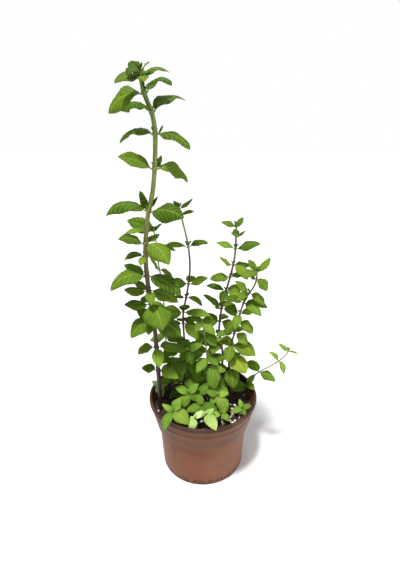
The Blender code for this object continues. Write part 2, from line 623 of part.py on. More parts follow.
def main():
    for obj in list(bpy.data.objects):
        bpy.data.objects.remove(obj, do_unlink=True)
    bush = Bush()
    floor = SOIL_TOP - SOIL_CORE
    pot_mesh = turned([(0, 0), (RIM_RADIUS, STEP_HEIGHT), (RIM_RADIUS, POT_HEIGHT), (LIP_INSIDE, POT_HEIGHT),
                       (inner_radius(SOIL_TOP), floor), (0, floor)], POT_SIDES)
    soil_mesh = make_soil()
    for owner, mesh in (("pot", pot_mesh), ("soil", soil_mesh)):
        mesh.verts.index_update()
        bush.add(owner, [v.co.copy() for v in mesh.verts], [[v.index for v in f.verts] for f in mesh.faces])
    pot_mesh.free()
    make_pot()
    soil = to_object("soil", soil_mesh, SOIL)

    stems, collars, tips, shoots = plant_nodes()
    for node in (*stems, *collars, *tips, *shoots):
        bush.add(node.name, *node.solid())

    sockets = bmesh.new()
    for node in (*stems, *shoots):
        grip = Growth("socket", node.route, node.bottom - GAP, SOIL_TOP + SOCKET_RISE,
                      lambda z, r=node.radius: r(z) + GAP, [], SOIL)
        verts, faces = grip.solid()
        made = [sockets.verts.new(v) for v in verts]
        for face in faces:
            sockets.faces.new([made[i] for i in face])
        grip.mesh.free()
    cut(soil, to_object("socket_cutter", sockets, SOIL))

    for node in (*tips, *collars, *shoots):
        node.grow_leaves(bush)
    for node in (*stems, *collars, *tips, *shoots):
        node.finish()


main()
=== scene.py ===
"""Potted mint: the looks of a leggy mint plant in a thin plastic nursery pot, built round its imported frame.

The tables are in millimetres and degrees, a heading is measured from +X towards +Y, and -Y is the front.
Meshes are made in metres, in the frame's own place.
"""

import logging
from dataclasses import dataclass, field, replace
from enum import Enum
from itertools import product
from math import cos, exp, hypot, pi, radians, sin, tau
from random import Random
from typing import Any, Callable, Iterable, Sequence

import bpy
import numpy as np
from mathutils import Matrix, Vector, noise
from mathutils.kdtree import KDTree


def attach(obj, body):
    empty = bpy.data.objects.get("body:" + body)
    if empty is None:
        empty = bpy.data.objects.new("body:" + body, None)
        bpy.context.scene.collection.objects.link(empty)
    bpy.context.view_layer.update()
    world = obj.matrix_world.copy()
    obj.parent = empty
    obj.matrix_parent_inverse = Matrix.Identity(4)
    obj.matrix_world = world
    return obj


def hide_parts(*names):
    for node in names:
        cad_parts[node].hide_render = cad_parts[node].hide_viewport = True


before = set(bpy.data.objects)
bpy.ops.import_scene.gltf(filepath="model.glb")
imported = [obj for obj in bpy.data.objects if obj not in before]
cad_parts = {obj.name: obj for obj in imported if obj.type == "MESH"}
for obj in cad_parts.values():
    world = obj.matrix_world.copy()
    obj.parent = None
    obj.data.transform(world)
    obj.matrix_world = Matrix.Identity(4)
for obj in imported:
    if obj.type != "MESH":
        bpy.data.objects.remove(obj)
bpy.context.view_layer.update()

LOG = logging.getLogger("potted_mint")
MM = 0.001
Colour = Place = tuple[float, float, float]
ByHeight = Callable[[float], float]


# Stems: thickness at the foot and at the top, top height, and the route from the buried end
STEMS = {
    "main_stem": (5.4, 4.2, 474, [(-55, -12, 74), (-56, -14, 157), (-58, -17, 222), (-62, -19, 264),
        (-63, -20, 306), (-59, -18, 346), (-52, -17, 376), (-48, -15, 424), (-50, -14, 446), (-57, -14, 466),
        (-60, -14, 486)]),
    "second_stem": (2.8, 2.0, 336, [(-23, 14, 74), (-24, 17, 171), (-25, 18, 213), (-20, 19, 240),
        (-16, 20, 274), (-18, 20, 303), (-25, 20, 336), (-28, 20, 350)]),
    "right_stem": (3.0, 2.2, 306, [(27, 22, 74), (26, 24, 126), (26, 25, 152), (21, 25, 183), (24, 26, 220),
        (33, 28, 258), (38, 28, 285), (39, 28, 326)]),
    "forked_stem": (2.8, 2.0, 263, [(35, 6, 74), (34, 6, 129), (34, 6, 164), (42, 6, 205), (50, 5, 238),
        (61, 3, 260), (63, 2, 280)]),
}

# Leaf pairs held by a collar round a stem, by stem and number: (height, leaves). A leaf is (heading, length,
# width as a share of length, slope at the stalk, slope at the tip), and sometimes an extra roll to the light.
PAIRS = {
    "main": {
        13: (466, [(168, 41, .66, 6, -62, 24), (330, 34, .48, 70, -52, -8)]),
        12: (449, [(215, 31, .54, 60, -56, -6), (35, 40, .46, 52, -26, -12)]),
        11: (429, [(160, 43, .42, 32, -64, -20), (335, 39, .48, 10, -54, -18), (30, 9, .3, 60, 50)]),
        10: (396, [(200, 35, .46, 34, 8, 18), (20, 38, .54, 12, -66, 8), (70, 17, .3, 45, 35)]),
        9: (353, [(190, 46, .42, 42, -55, -12), (340, 38, .54, 24, -36, 16), (150, 20, .4, 65, 55),
            (20, 17, .3, 75, 65)]),
        8: (318, [(200, 27, .5, 42, -12), (320, 36, .6, 6, -66), (45, 18, .42, 25, 10)]),
        7: (303, [(170, 24, .4, 25, -60), (350, 20, .4, 20, -30), (260, 16, .5, 15, -45)]),
        6: (280, [(205, 44, .44, 32, -62), (340, 42, .46, 0, -52), (160, 26, .46, 45, 18)]),
        5: (261, [(190, 24, .52, 20, 0), (350, 33, .5, 0, -45), (150, 20, .42, 35, 15),
            (285, 19, .56, 5, -60)]),
        4: (245, [(200, 27, .5, 22, -5), (300, 36, .84, 4, -80), (120, 26, .52, 10, -30)]),
        3: (224, [(205, 32, .58, -5, -68), (350, 36, .62, -10, -60), (150, 22, .58, 30, 0),
            (260, 20, .54, 0, -55)]),
        2: (185, [(185, 24, .5, 25, -80), (285, 24, .52, -15, -70), (20, 26, .52, 0, -50)]),
        1: (150, [(160, 20, .55, 20, -30), (340, 24, .52, 10, -35)]),
    },
    "second": {
        6: (301, [(195, 27, .3, 25, -15), (15, 24, .36, 40, -35)]),
        5: (254, [(340, 25, .5, 40, 10), (200, 27, .52, 18, -20), (80, 22, .5, 20, -20)]),
        4: (235, [(15, 25, .4, 0, -78), (190, 14, .38, 15, 0)]),
        3: (216, [(340, 33, .36, 15, -12), (200, 22, .52, -5, -42), (90, 25, .5, 10, -30)]),
        2: (200, [(330, 28, .58, -15, -72), (20, 20, .52, 15, -35), (190, 22, .54, 5, -40),
            (100, 22, .54, 5, -40)]),
        1: (165, [(10, 30, .58, 5, -48), (195, 30, .58, 5, -50), (100, 28, .58, 5, -40),
            (280, 26, .58, -10, -62)]),
    },
    "right": {
        7: (296, [(165, 22, .42, 25, 0), (340, 29, .46, 35, 0)]),
        6: (275, [(200, 20, .52, 25, 50), (330, 25, .62, -5, -80), (20, 22, .46, 5, -25)]),
        5: (259, [(200, 24, .56, 8, -10), (30, 20, .44, 15, -20)]),
        4: (240, [(165, 24, .38, 32, -15), (335, 25, .46, 5, -42), (20, 23, .5, 12, -12),
            (250, 20, .5, 0, -45)]),
        3: (217, [(165, 27, .32, 45, 25), (205, 20, .68, 30, 5), (345, 20, .54, 0, -52),
            (80, 20, .54, 10, -20)]),
        2: (199, [(155, 21, .5, 22, -5), (205, 22, .56, 0, -35), (335, 22, .6, -10, -58),
            (60, 20, .54, 10, -25)]),
        1: (175, [(195, 32, .6, 15, -28), (250, 28, .6, 5, -40), (345, 22, .56, -10, -60),
            (80, 26, .58, 5, -35)]),
    },
    "forked": {
        7: (248, [(170, 20, .52, 50, 30), (220, 18, .52, 20, -10), (340, 21, .56, -10, -62)]),
        6: (235, [(0, 28, .42, 8, -35), (320, 26, .44, 0, -45), (190, 24, .44, 35, -10)]),
        5: (219, [(165, 25, .5, 45, 22), (240, 20, .52, -20, -75), (20, 18, .5, 20, -20)]),
        4: (209, [(340, 22, .66, -15, -62), (200, 22, .6, -25, -78)]),
        3: (192, [(340, 20, .72, -15, -75), (185, 22, .4, 20, -40), (60, 20, .56, 10, -25)]),
        2: (175, [(345, 32, .62, 10, -50), (165, 20, .46, 15, -20), (255, 23, .58, -10, -62)]),
        1: (156, [(320, 28, .74, 5, -62), (190, 27, .46, 18, -25), (60, 25, .58, 5, -40)]),
        0: (141, [(285, 27, .7, -20, -85), (180, 27, .56, 12, -38), (30, 25, .58, 0, -50)]),
    },
}

# Tips that end a tall stem: (height, whorls), a whorl being (height, leaves)
TIPS = {
    "main": (486, [(478, [(20, 29, .46, 58, -36, -8), (208, 26, .46, 24, -44, 20), (285, 16, .62, 25, -52),
        (110, 18, .58, 50, 10, 20)]), (484, [(140, 16, .62, 50, 8, 24), (320, 13, .58, 52, 8, 24),
        (235, 17, .62, 30, -60, 6)])]),
    "second": (348, [(339, [(350, 15, .46, 25, 5), (170, 14, .46, 25, 5), (260, 10, .5, 30, 0)]), (346,
        [(170, 11, .52, 60, 50), (15, 18, .32, 25, 45)])]),
    "right": (324, [(310, [(350, 13, .38, 40, 40), (255, 16, .56, 50, 15), (90, 15, .5, 35, 10)]), (322,
        [(40, 14, .46, 55, 38), (170, 18, .44, 28, 5), (270, 9, .5, 60, 45)])]),
    "forked": (278, [(267, [(190, 16, .6, 45, 32), (335, 19, .7, -15, -80)]), (276, [(150, 17, .52, 55, 42),
        (35, 23, .36, 25, 50), (200, 22, .5, 32, 4)])]),
}

# Young shoots, each with its own stem: node: (thickness, top height, route, whorls)
SHOOTS = {
    "back_shoot": (2.0, 317, [(-46, 30, 74), (-49, 32, 159), (-51, 34, 240), (-55, 35, 273), (-57, 36, 300),
        (-60, 36, 320)], [(315, [(170, 34, .56, 30, 10, 30), (195, 38, .26, 22, -25), (10, 13, .42, 50, 35),
        (330, 10, .44, 25, 10)]), (296, [(350, 24, .34, 5, -30), (170, 18, .34, 5, -30)]), (265,
        [(205, 24, .42, 70, 50), (20, 20, .44, -15, -60)]), (215, [(160, 24, .52, 10, -40),
        (340, 24, .52, 10, -40)]), (170, [(70, 24, .54, 10, -40), (160, 26, .56, 5, -50),
        (345, 26, .56, 5, -45)]), (130, [(30, 26, .58, 5, -40), (120, 24, .56, 5, -40),
        (300, 24, .58, 0, -50)])]),
    "trailing_shoot": (1.7, 170, [(56, 18, 74), (58, 17, 100), (62, 14, 114), (68, 12, 123), (75, 10, 132),
        (87, 6, 143), (98, 4, 153), (106, 2, 164), (108, 2, 172)], [(106, [(200, 26, .62, 22, -28),
        (300, 16, .7, 10, -55), (40, 18, .46, 40, 25)]), (131, [(150, 23, .58, 55, -25),
        (335, 24, .54, 8, -50)]), (152, [(160, 17, .38, 65, 10), (325, 19, .44, -40, -88)]), (168,
        [(160, 15, .44, 42, 28), (350, 13, .22, 8, -38)])]),
    "middle_shoot_left": (2.2, 176, [(-22, 4, 74), (-21, -1, 140), (-20, -4, 180)], [(174,
        [(175, 22, .58, 15, -15), (5, 20, .58, 32, 5), (290, 20, .62, -15, -62), (95, 19, .56, 30, -5)]),
        (155, [(205, 30, .62, -25, -85), (340, 29, .62, -15, -72), (20, 24, .58, 5, -25)]), (130,
        [(160, 27, .6, 5, -50), (60, 27, .6, 5, -45), (300, 24, .6, -5, -60)]), (107, [(20, 25, .6, 10, -30),
        (190, 24, .6, 10, -40)])]),
    "middle_shoot": (2.2, 208, [(4, 6, 74), (5, 4, 156), (2, 8, 186), (-2, 7, 212)], [(206,
        [(160, 15, .56, 35, 15), (20, 14, .56, 35, 18), (225, 14, .62, -5, -55), (335, 22, .6, 14, -32)]),
        (186, [(190, 17, .68, -5, -55), (345, 20, .62, -15, -65), (90, 22, .56, 10, -30)]), (157,
        [(205, 24, .58, -15, -60), (320, 20, .58, -15, -55), (20, 22, .52, 30, -5)]), (130,
        [(190, 27, .6, 5, -45), (80, 27, .6, 5, -40), (350, 27, .6, 5, -45)]), (107, [(120, 25, .6, 15, -30),
        (30, 25, .6, 15, -35), (200, 24, .6, 10, -40)])]),
    "middle_shoot_front": (2.0, 150, [(13, -7, 74), (12, -8, 120), (12, -6, 152)], [(148,
        [(275, 28, .6, -40, -98), (160, 20, .62, -5, -45), (20, 20, .6, -5, -45)]), (122,
        [(200, 24, .6, 0, -50), (340, 24, .6, 0, -50)])]),
    "low_shoot_left": (1.8, 146, [(-38, 8, 74), (-40, 6, 110), (-40, 6, 148)], [(144,
        [(200, 16, .48, 10, -50), (330, 25, .56, -35, -98), (165, 17, .46, 35, 5)]), (122,
        [(10, 23, .58, 10, -35), (195, 20, .56, 10, -40), (100, 20, .56, 10, -35)])]),
    "pale_shoot": (1.4, 107, [(-56, 13, 74), (-57, 13, 92), (-60, 14, 109)], [(105, [(160, 12, .62, 50, 15),
        (205, 15, .62, -10, -70), (20, 13, .6, 28, -15), (335, 17, .6, -25, -78)])]),
    "front_shoot_centre_left": (1.6, 123, [(-22, -22, 74), (-21, -24, 105), (-18, -22, 125)], [(121,
        [(165, 18, .6, 38, 5), (25, 18, .6, 55, 20), (335, 18, .6, 0, -52), (235, 20, .68, -20, -78)]), (106,
        [(200, 27, .62, -5, -75), (320, 20, .6, 0, -45), (90, 18, .6, 20, -20)])]),
    "front_shoot_left": (1.6, 113, [(-33, -36, 74), (-35, -40, 96), (-38, -46, 115)], [(111,
        [(240, 27, .42, 4, -100), (150, 16, .46, 38, 5), (330, 27, .66, 5, -68), (40, 20, .6, 55, 20)])]),
    "front_shoot_centre": (1.5, 113, [(-4, -30, 74), (-3, -32, 96), (-2, -34, 115)], [(111,
        [(190, 20, .52, 8, -28), (350, 20, .54, 8, -28), (120, 15, .62, 50, 15), (280, 12, .62, 5, -45)])]),
    "front_shoot_right": (1.5, 119, [(20, -20, 74), (19, -21, 96), (18, -22, 121)], [(117,
        [(165, 15, .62, 30, -5), (20, 15, .58, 22, -15), (320, 27, .62, -10, -74), (220, 15, .62, -10, -58)]),
        (101, [(75, 16, .58, 20, -20), (200, 15, .58, 10, -35)])]),
    "rim_shoot": (1.4, 113, [(3, -46, 74), (3, -48, 96), (3, -50, 115)], [(111, [(300, 25, .56, 8, -55),
        (165, 15, .62, -10, -48), (30, 12, .6, 35, 0)])]),
    "rim_shoot_left": (1.3, 110, [(-12, -49, 74), (-11, -51, 96), (-10, -53, 112)], [(108,
        [(250, 16, .62, -10, -75), (175, 16, .62, -5, -50), (30, 12, .6, 25, -10)])]),
    "rim_shoot_right": (1.3, 106, [(22, -36, 74), (22, -38, 96), (21, -40, 108)], [(104,
        [(200, 13, .62, 15, -30), (330, 14, .62, -5, -50), (30, 12, .6, 30, -5)])]),
    "seedling": (1.0, 99, [(50, -21, 74), (50, -21, 90), (50, -22, 101)], [(97, [(200, 16, .52, 8, -28),
        (10, 13, .56, 20, -12), (290, 11, .52, -5, -38), (110, 12, .52, 50, 30)])]),
}

# How much lighter than its neighbours a leaf is, by its node and its place there: partly the leaf's own tone,
# partly painted sheen on lit leaves and painted shade on shaded ones
LEAF_TONES_AND_PAINTED_LIGHT = {"main_leaves_4": {1: .4}, "main_leaves_8": {1: .2}, "main_leaves_5": {3: .35, 0: .5, 2: .7},
    "main_leaves_7": {2: .2}, "main_leaves_10": {1: .5, 0: -.25}, "main_leaves_3": {0: .4},
    "main_leaves_2": {1: .9}, "main_leaves_1": {1: .6}, "main_leaves_6": {0: .35, 1: -.2},
    "main_leaves_13": {0: .2}, "main_leaves_11": {1: -.2}, "main_leaves_9": {1: -.25},
    "right_leaves_1": {0: .5}, "forked_leaves_1": {0: .4}, "forked_leaves_3": {0: .6},
    "forked_leaves_2": {0: .4}}

# How light each young shoot is, from 0 to 1
SHOOT_TONES = {"back_shoot": .35, "middle_shoot": .3, "middle_shoot_left": .2, "low_shoot_left": .1,
    "middle_shoot_front": .45, "front_shoot_right": .55, "front_shoot_centre": .42,
    "front_shoot_centre_left": .48, "front_shoot_left": .52, "trailing_shoot": .35, "rim_shoot_left": .9,
    "rim_shoot_right": .65, "seedling": .45}

# The frame's own make of a leaf, repeated so that each blade lies where its solid does
STEM_SIDES = 8
SOIL_TOP = 88.0
ROOT_DEPTH = 14.0
GAP = 0.3
COLLAR_WALL = 1.0
NODE_HEIGHT = 1.8
SHOOT_TAPER = 0.75
WIDEST_SHARE = 0.34
TIP_WIDTH = 0.08
FULLNESS = 1.12
BLADE_THICKNESS = 0.8
LEAN = 28.0
TURNS = LIFTS = (0, 10, -10, 20, -20, 30, -30, 42, -42)
SIZES = (1.0, 0.88, 0.76, 0.62)
SIZE_COST = 90
MATCH = 0.03
SMALL_LEAF = 21
TINY_LEAF = 12
TINY_TONE = 0.08
STREW_RADIUS = 62.5
JOINT_BELOW = 1.9
JOINT_ABOVE = 1.4
JOINT_WIDER = 1.03
BUDS_ABOVE = 200
# Every (size, turn, lift) that a leaf may have grown aside by, the smallest change first
WAYS = sorted(product(SIZES, TURNS, LIFTS),
              key=lambda way: abs(way[1]) + abs(way[2]) + (1 - way[0]) * SIZE_COST)


@dataclass(frozen=True)
class Leaf:
    """The run of one blade: where it heads, how long and broad it is, and how it arches and rolls."""

    heading: float
    length: float
    width: float
    rise: float
    fall: float
    roll: float = 0.0

    def grown_aside(self, turn: float, lift: float, size: float) -> "Leaf":
        """The same leaf turned, lifted and made smaller."""
        return Leaf(self.heading + turn, self.length * size, self.width, self.rise + lift, self.fall + lift,
                    self.roll)

    def direction(self, share: float) -> Vector:
        """The way the midrib runs at a share of its length."""
        h = radians(self.heading)
        e = radians(self.rise + (self.fall - self.rise) * share)
        return Vector((cos(h) * cos(e), sin(h) * cos(e), sin(e)))

    def across(self, share: float) -> tuple[Vector, Vector]:
        """The blade's sideways and upward directions at a share of its length.

        Args:
            share: how far along the midrib, from 0 at the stalk to 1 at the tip.

        Returns:
            The sideways and the upward unit vectors, rolled towards the light beyond the stalk.
        """
        h = radians(self.heading)
        side = Vector((-sin(h), cos(h), 0))
        up = self.direction(share).cross(side)
        roll = -radians(LEAN + self.roll) * cos(h) * min(1, max(share, 0) / WIDEST_SHARE)
        return side * cos(roll) - up * sin(roll), up * cos(roll) + side * sin(roll)

    def middle(self, base: Vector, share: float, steps: int = 24) -> Vector:
        """The point on the midrib at a share of its length, from the base on the stem."""
        point = base.copy()
        for i in range(steps):
            point += self.direction((i + 0.5) / steps * share) * (self.length * share / steps)
        return point

    def tip_corners(self, base: Vector) -> list[Vector]:
        """The four corners that end the leaf's solid in the frame."""
        centre = self.middle(base, 1.0)
        side, up = self.across(1.0)
        half_width = TIP_WIDTH * self.width * FULLNESS * self.length / 2
        half_thick = BLADE_THICKNESS / 2
        return [centre + side * (a * half_width) + up * (b * half_thick)
                for a, b in ((-1, -1), (1, -1), (1, 1), (-1, 1))]


class Route:
    """A smooth line that climbs through the given points, read by its height."""

    def __init__(self, points: Sequence[Sequence[float]]) -> None:
        """Keeps the points, which climb."""
        self.points = [Vector(p) for p in points]

    def slope(self, i: int) -> Vector:
        """How far the line moves for each millimetre that it climbs, at point i."""
        a = self.points[max(i - 1, 0)]
        b = self.points[min(i + 1, len(self.points) - 1)]
        return (b - a) / (b.z - a.z)

    def at(self, z: float) -> Vector:
        """The line's point at height z."""
        last = len(self.points) - 2
        i = next((n for n in range(last) if z < self.points[n + 1].z), last)
        a, b = self.points[i], self.points[i + 1]
        rise = b.z - a.z
        t = (z - a.z) / rise
        if not 0 <= t <= 1:
            end, n = (a, i) if t < 0 else (b, i + 1)
            return end + self.slope(n) * (z - end.z)
        m0, m1 = self.slope(i) * rise, self.slope(i + 1) * rise
        t2, t3 = t * t, t * t * t
        return a * (2 * t3 - 3 * t2 + 1) + m0 * (t3 - 2 * t2 + t) + b * (3 * t2 - 2 * t3) + m1 * (t3 - t2)

    def heading(self, z: float) -> Vector:
        """The way the line runs at height z."""
        return (self.at(z + 0.5) - self.at(z - 0.5)).normalized()

    def square_to(self, z: float, turn: float = 0.0) -> tuple[Vector, Vector]:
        """Two directions square to the line at height z, the first one nearest the heading called turn."""
        along = self.heading(z)
        first = Vector((cos(turn), sin(turn), 0))
        first = (first - along * first.dot(along)).normalized()
        return first, along.cross(first)


@dataclass(frozen=True)
class Flat:
    """One of the eight flats of a node on the stem, from which a leaf may grow."""

    base: Vector
    normal: Vector


def flats_round(route: Route, z: float, radius_at: ByHeight, turn: float) -> list[Flat]:
    """The eight flats of the whorl at height z.

    Args:
        route: the stem's line.
        z: the middle of the whorl.
        radius_at: the stem's radius by height.
        turn: the heading that the first flat faces, in radians.

    Returns:
        The flats in turn order.
    """
    rings = []
    for height in (z - NODE_HEIGHT / 2, z + NODE_HEIGHT / 2):
        first, second = route.square_to(height, turn)
        corner = radius_at(height) / cos(pi / STEM_SIDES)
        angles = [pi / STEM_SIDES * (2 * i + 1) for i in range(STEM_SIDES)]
        rings.append([route.at(height) + (first * cos(a) + second * sin(a)) * corner for a in angles])
    low, high = rings
    flats = []
    for i in range(STEM_SIDES):
        j = (i + 1) % STEM_SIDES
        normal = (high[j] - low[i]).cross(high[i] - low[j]).normalized()
        flats.append(Flat((low[i] + low[j] + high[i] + high[j]) / 4, normal))
    return flats


def placed_leaves(node: str, route: Route, radius_at: ByHeight,
                  whorls: Sequence[tuple[float, Sequence[tuple]]]) -> list[tuple[Leaf, Vector]]:
    """Finds how each leaf of a node lies in the frame.

    Args:
        node: the CAD node's name.
        route: the stem's line.
        radius_at: the stem's or the collar's radius by height.
        whorls: (height, leaves) from the tables.

    Returns:
        (leaf, base) for each leaf, in millimetres.
    """
    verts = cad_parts[node].data.vertices
    tree = KDTree(len(verts))
    for vert in verts:
        tree.insert(vert.co / MM, vert.index)
    tree.balance()
    eighth = tau / STEM_SIDES
    found, turn = [], 0.0
    for height, leaves in sorted(whorls):
        grown = [Leaf(*leaf) for leaf in leaves]
        turn += (radians(grown[0].heading) - turn + eighth / 2) % eighth - eighth / 2
        free = flats_round(route, height, radius_at, turn)
        for leaf in grown:
            flat = max(free, key=lambda f: f.normal.dot(leaf.direction(0)))
            free.remove(flat)
            ways = (leaf.grown_aside(turned, lift, size) for size, turned, lift in WAYS)
            match = next((way for way in ways
                          if all(tree.find(c)[2] < MATCH for c in way.tip_corners(flat.base))), None)
            if match is None:
                LOG.warning("%s has no blade in the frame at height %s, heading %s", node, height,
                            leaf.heading)
                match = leaf
            found.append((match, flat.base))
    return found


class Wire:
    """A value inside a material, with the operators that add its Math nodes."""

    def __init__(self, recipe: "Recipe", socket: bpy.types.NodeSocket) -> None:
        """Keeps the recipe it belongs to and its output socket."""
        self.recipe = recipe
        self.socket = socket

    def math(self, operation: str, *others: Any, swapped: bool = False) -> "Wire":
        """Adds one Math node.

        Args:
            operation: the Math node's operation.
            others: the other values, numbers or wires.
            swapped: True where this value comes second.

        Returns:
            The result.
        """
        values = [*others, self] if swapped else [self, *others]
        return self.recipe.add("ShaderNodeMath", {"operation": operation}, dict(enumerate(values)))

    def __add__(self, other: Any) -> "Wire":
        """Sum."""
        return self.math("ADD", other)

    __radd__ = __add__

    def __sub__(self, other: Any) -> "Wire":
        """Difference."""
        return self.math("SUBTRACT", other)

    def __rsub__(self, other: Any) -> "Wire":
        """Difference from a number."""
        return self.math("SUBTRACT", other, swapped=True)

    def __mul__(self, other: Any) -> "Wire":
        """Product."""
        return self.math("MULTIPLY", other)

    __rmul__ = __mul__

    def __abs__(self) -> "Wire":
        """Size without its sign."""
        return self.math("ABSOLUTE")

    def part(self) -> "Wire":
        """What is left over from the whole number below."""
        return self.math("FRACT")

    def ramp(self, low: float, high: float, start: float = 0.0, end: float = 1.0) -> "Wire":
        """Eases from start, at the value low, to end, at the value high."""
        return self.recipe.add("ShaderNodeMapRange", {"interpolation_type": "SMOOTHSTEP"},
                               {"Value": self, "From Min": low, "From Max": high, "To Min": start,
                                "To Max": end})


class Recipe:
    """A material under construction, on its Principled shader."""

    def __init__(self, name: str, roughness: float, specular: float, tint: Colour = (1.0, 1.0, 1.0)) -> None:
        """Starts a material of one roughness, specular level and specular tint."""
        self.material = bpy.data.materials.new(name)
        self.material.use_nodes = True
        self.tree = self.material.node_tree
        self.shader = self.tree.nodes["Principled BSDF"]
        self.shader.inputs["Roughness"].default_value = roughness
        self.shader.inputs["Specular IOR Level"].default_value = specular
        self.shader.inputs["Specular Tint"].default_value = (*tint, 1.0)

    def feed(self, socket: bpy.types.NodeSocket, value: Any) -> None:
        """Links a wire to a socket, or sets its number or colour."""
        if isinstance(value, Wire):
            self.tree.links.new(value.socket, socket)
        elif isinstance(value, tuple) and len(value) == 3 and socket.type == "RGBA":
            socket.default_value = (*value, 1.0)
        else:
            socket.default_value = value

    def add(self, kind: str, settings: dict[str, Any] | None = None,
            values: dict[Any, Any] | None = None, out: int | str = 0) -> Wire:
        """Adds a node.

        Args:
            kind: the node's type.
            settings: its own settings, and "stops" for a ramp's (place, colour) pairs.
            values: what goes to its sockets, by name or number.
            out: the output that is used.

        Returns:
            That output.
        """
        node = self.tree.nodes.new(kind)
        for key, value in (settings or {}).items():
            if key == "stops":
                self.set_stops(node.color_ramp, value)
            else:
                setattr(node, key, value)
        for key, value in (values or {}).items():
            self.feed(node.inputs[key], value)
        return Wire(self, node.outputs[out])

    @staticmethod
    def set_stops(ramp: bpy.types.ColorRamp, stops: Sequence[tuple[float, tuple]]) -> None:
        """Gives a ramp its (place, colour) stops, in rising order."""
        for place, _ in stops[1:-1]:
            ramp.elements.new(place)
        for element, (place, colour) in zip(ramp.elements, stops):
            element.position = place
            element.color = (*colour, 1.0)

    def here(self) -> Wire:
        """The place on the object, in metres."""
        return self.add("ShaderNodeTexCoord", out="Object")

    def axis(self, vector: Wire, name: str) -> Wire:
        """One axis of a vector: X, Y or Z."""
        return self.add("ShaderNodeSeparateXYZ", values={0: vector}, out=name)

    def cloud(self, where: Wire, scale: float, detail: float = 3.0) -> Wire:
        """Soft noise from 0 to 1."""
        return self.add("ShaderNodeTexNoise", values={"Vector": where, "Scale": scale, "Detail": detail})

    def cells(self, where: Wire, scale: float) -> Wire:
        """The distance to the nearest edge between cells."""
        return self.add("ShaderNodeTexVoronoi", {"feature": "DISTANCE_TO_EDGE"},
                        {"Vector": where, "Scale": scale}, out="Distance")

    def blend(self, factor: Any, a: Any, b: Any, kind: str = "MIX") -> Wire:
        """Mixes two colours."""
        return self.add("ShaderNodeMix", {"data_type": "RGBA", "blend_type": kind}, {0: factor, 6: a, 7: b},
                        out=2)

    def stretched(self, where: Wire, scale: Place) -> Wire:
        """A place with its axes stretched, for a pattern that is longer one way."""
        return self.add("ShaderNodeVectorMath", {"operation": "MULTIPLY"}, {0: where, 1: scale})

    def dress(self, colour: Any, roughness: Any = None, height: Any = None, depth: float = 0.0004) -> None:
        """Feeds the shader its colour, roughness and relief."""
        self.feed(self.shader.inputs["Base Color"], colour)
        if roughness is not None:
            self.feed(self.shader.inputs["Roughness"], roughness)
        if height is not None:
            bump = self.add("ShaderNodeBump", values={"Strength": 1.0, "Distance": depth, "Height": height})
            self.feed(self.shader.inputs["Normal"], bump)

    def let_light_through(self, colour: Colour, share: float) -> None:
        """Mixes a translucent shader in by a share."""
        glow = self.add("ShaderNodeBsdfTranslucent", values={"Color": colour})
        mixed = self.add("ShaderNodeMixShader", values={0: share, 1: Wire(self, self.shader.outputs[0]),
                                                        2: glow})
        self.feed(self.tree.nodes["Material Output"].inputs["Surface"], mixed)


def shade(colour: Colour, k: float) -> Colour:
    """A colour made lighter or darker by a factor."""
    return tuple(min(1.0, c * k) for c in colour)


@dataclass(frozen=True)
class LeafSkin:
    """One side of a leaf blade: its colour attribute under veins, mottling and fine wrinkles, with painted
    shade in the wrinkles' creases and beside the veins on the upper side.
    """

    name: str
    glow: Colour
    through: float
    underside: bool = False

    def make(self) -> bpy.types.Material:
        """Returns the material."""
        r = Recipe(self.name, 0.62 if self.underside else 0.5, 0.14, (0.85, 1.0, 0.45))
        here = r.here()
        own = r.add("ShaderNodeAttribute", {"attribute_name": "leaf_colour"}, out="Color")
        rib = r.add("ShaderNodeAttribute", {"attribute_name": "side_rib"}, out="Fac")
        across = abs(r.axis(r.add("ShaderNodeTexCoord", out="UV"), "X") * 2 - 1)
        midrib = across.ramp(0.02, 0.11, 1, 0)
        veins = abs(rib.part() * 2 - 1).ramp(0.72, 0.98) * across.ramp(0.85, 1.0, 1, 0.2)
        ribs = midrib.math("MAXIMUM", veins)
        wrinkles = r.cells(here, 420.0).ramp(0.0, 0.3)
        mottle = r.cloud(here, 160.0, 4.0)
        if self.underside:
            pale = r.blend(0.3, own, (0.34, 0.48, 0.14))
            colour = r.blend(ribs * 0.35, pale, (0.50, 0.64, 0.26))
            height = ribs * 0.35 - wrinkles * 0.03
        else:
            deep = r.blend(mottle.ramp(0.3, 0.72), r.blend(1.0, own, (0.70, 0.78, 0.66), "MULTIPLY"), own)
            # darker is the painted shade colour, used in the wrinkle creases and in the grooves beside the
            # veins
            darker = r.blend(1.0, deep, (0.70, 0.75, 0.66), "MULTIPLY")
            # Painted shade: the lines between the fine wrinkle cells are darkened as creases in shadow
            crease_shaded = r.blend((1 - wrinkles) * 0.06, deep, darker)
            # Painted shade on the flanks beside the sunken veins, where the puckered blade dips into the
            # grooves
            groove_shade_mask = (1 - veins) * abs(rib.part() * 2 - 1).ramp(0.35, 0.8)
            groove_shaded = r.blend(groove_shade_mask * 0.62, crease_shaded, darker)
            colour = r.blend(ribs * 0.55, groove_shaded, r.blend(0.45, own, (0.42, 0.58, 0.12)))
            height = wrinkles * 0.02 - ribs * 0.2
        r.dress(colour, mottle.ramp(0.2, 0.8, 0.52, 0.66) if not self.underside else None, height, 0.0002)
        r.let_light_through(self.glow, self.through)
        return r.material


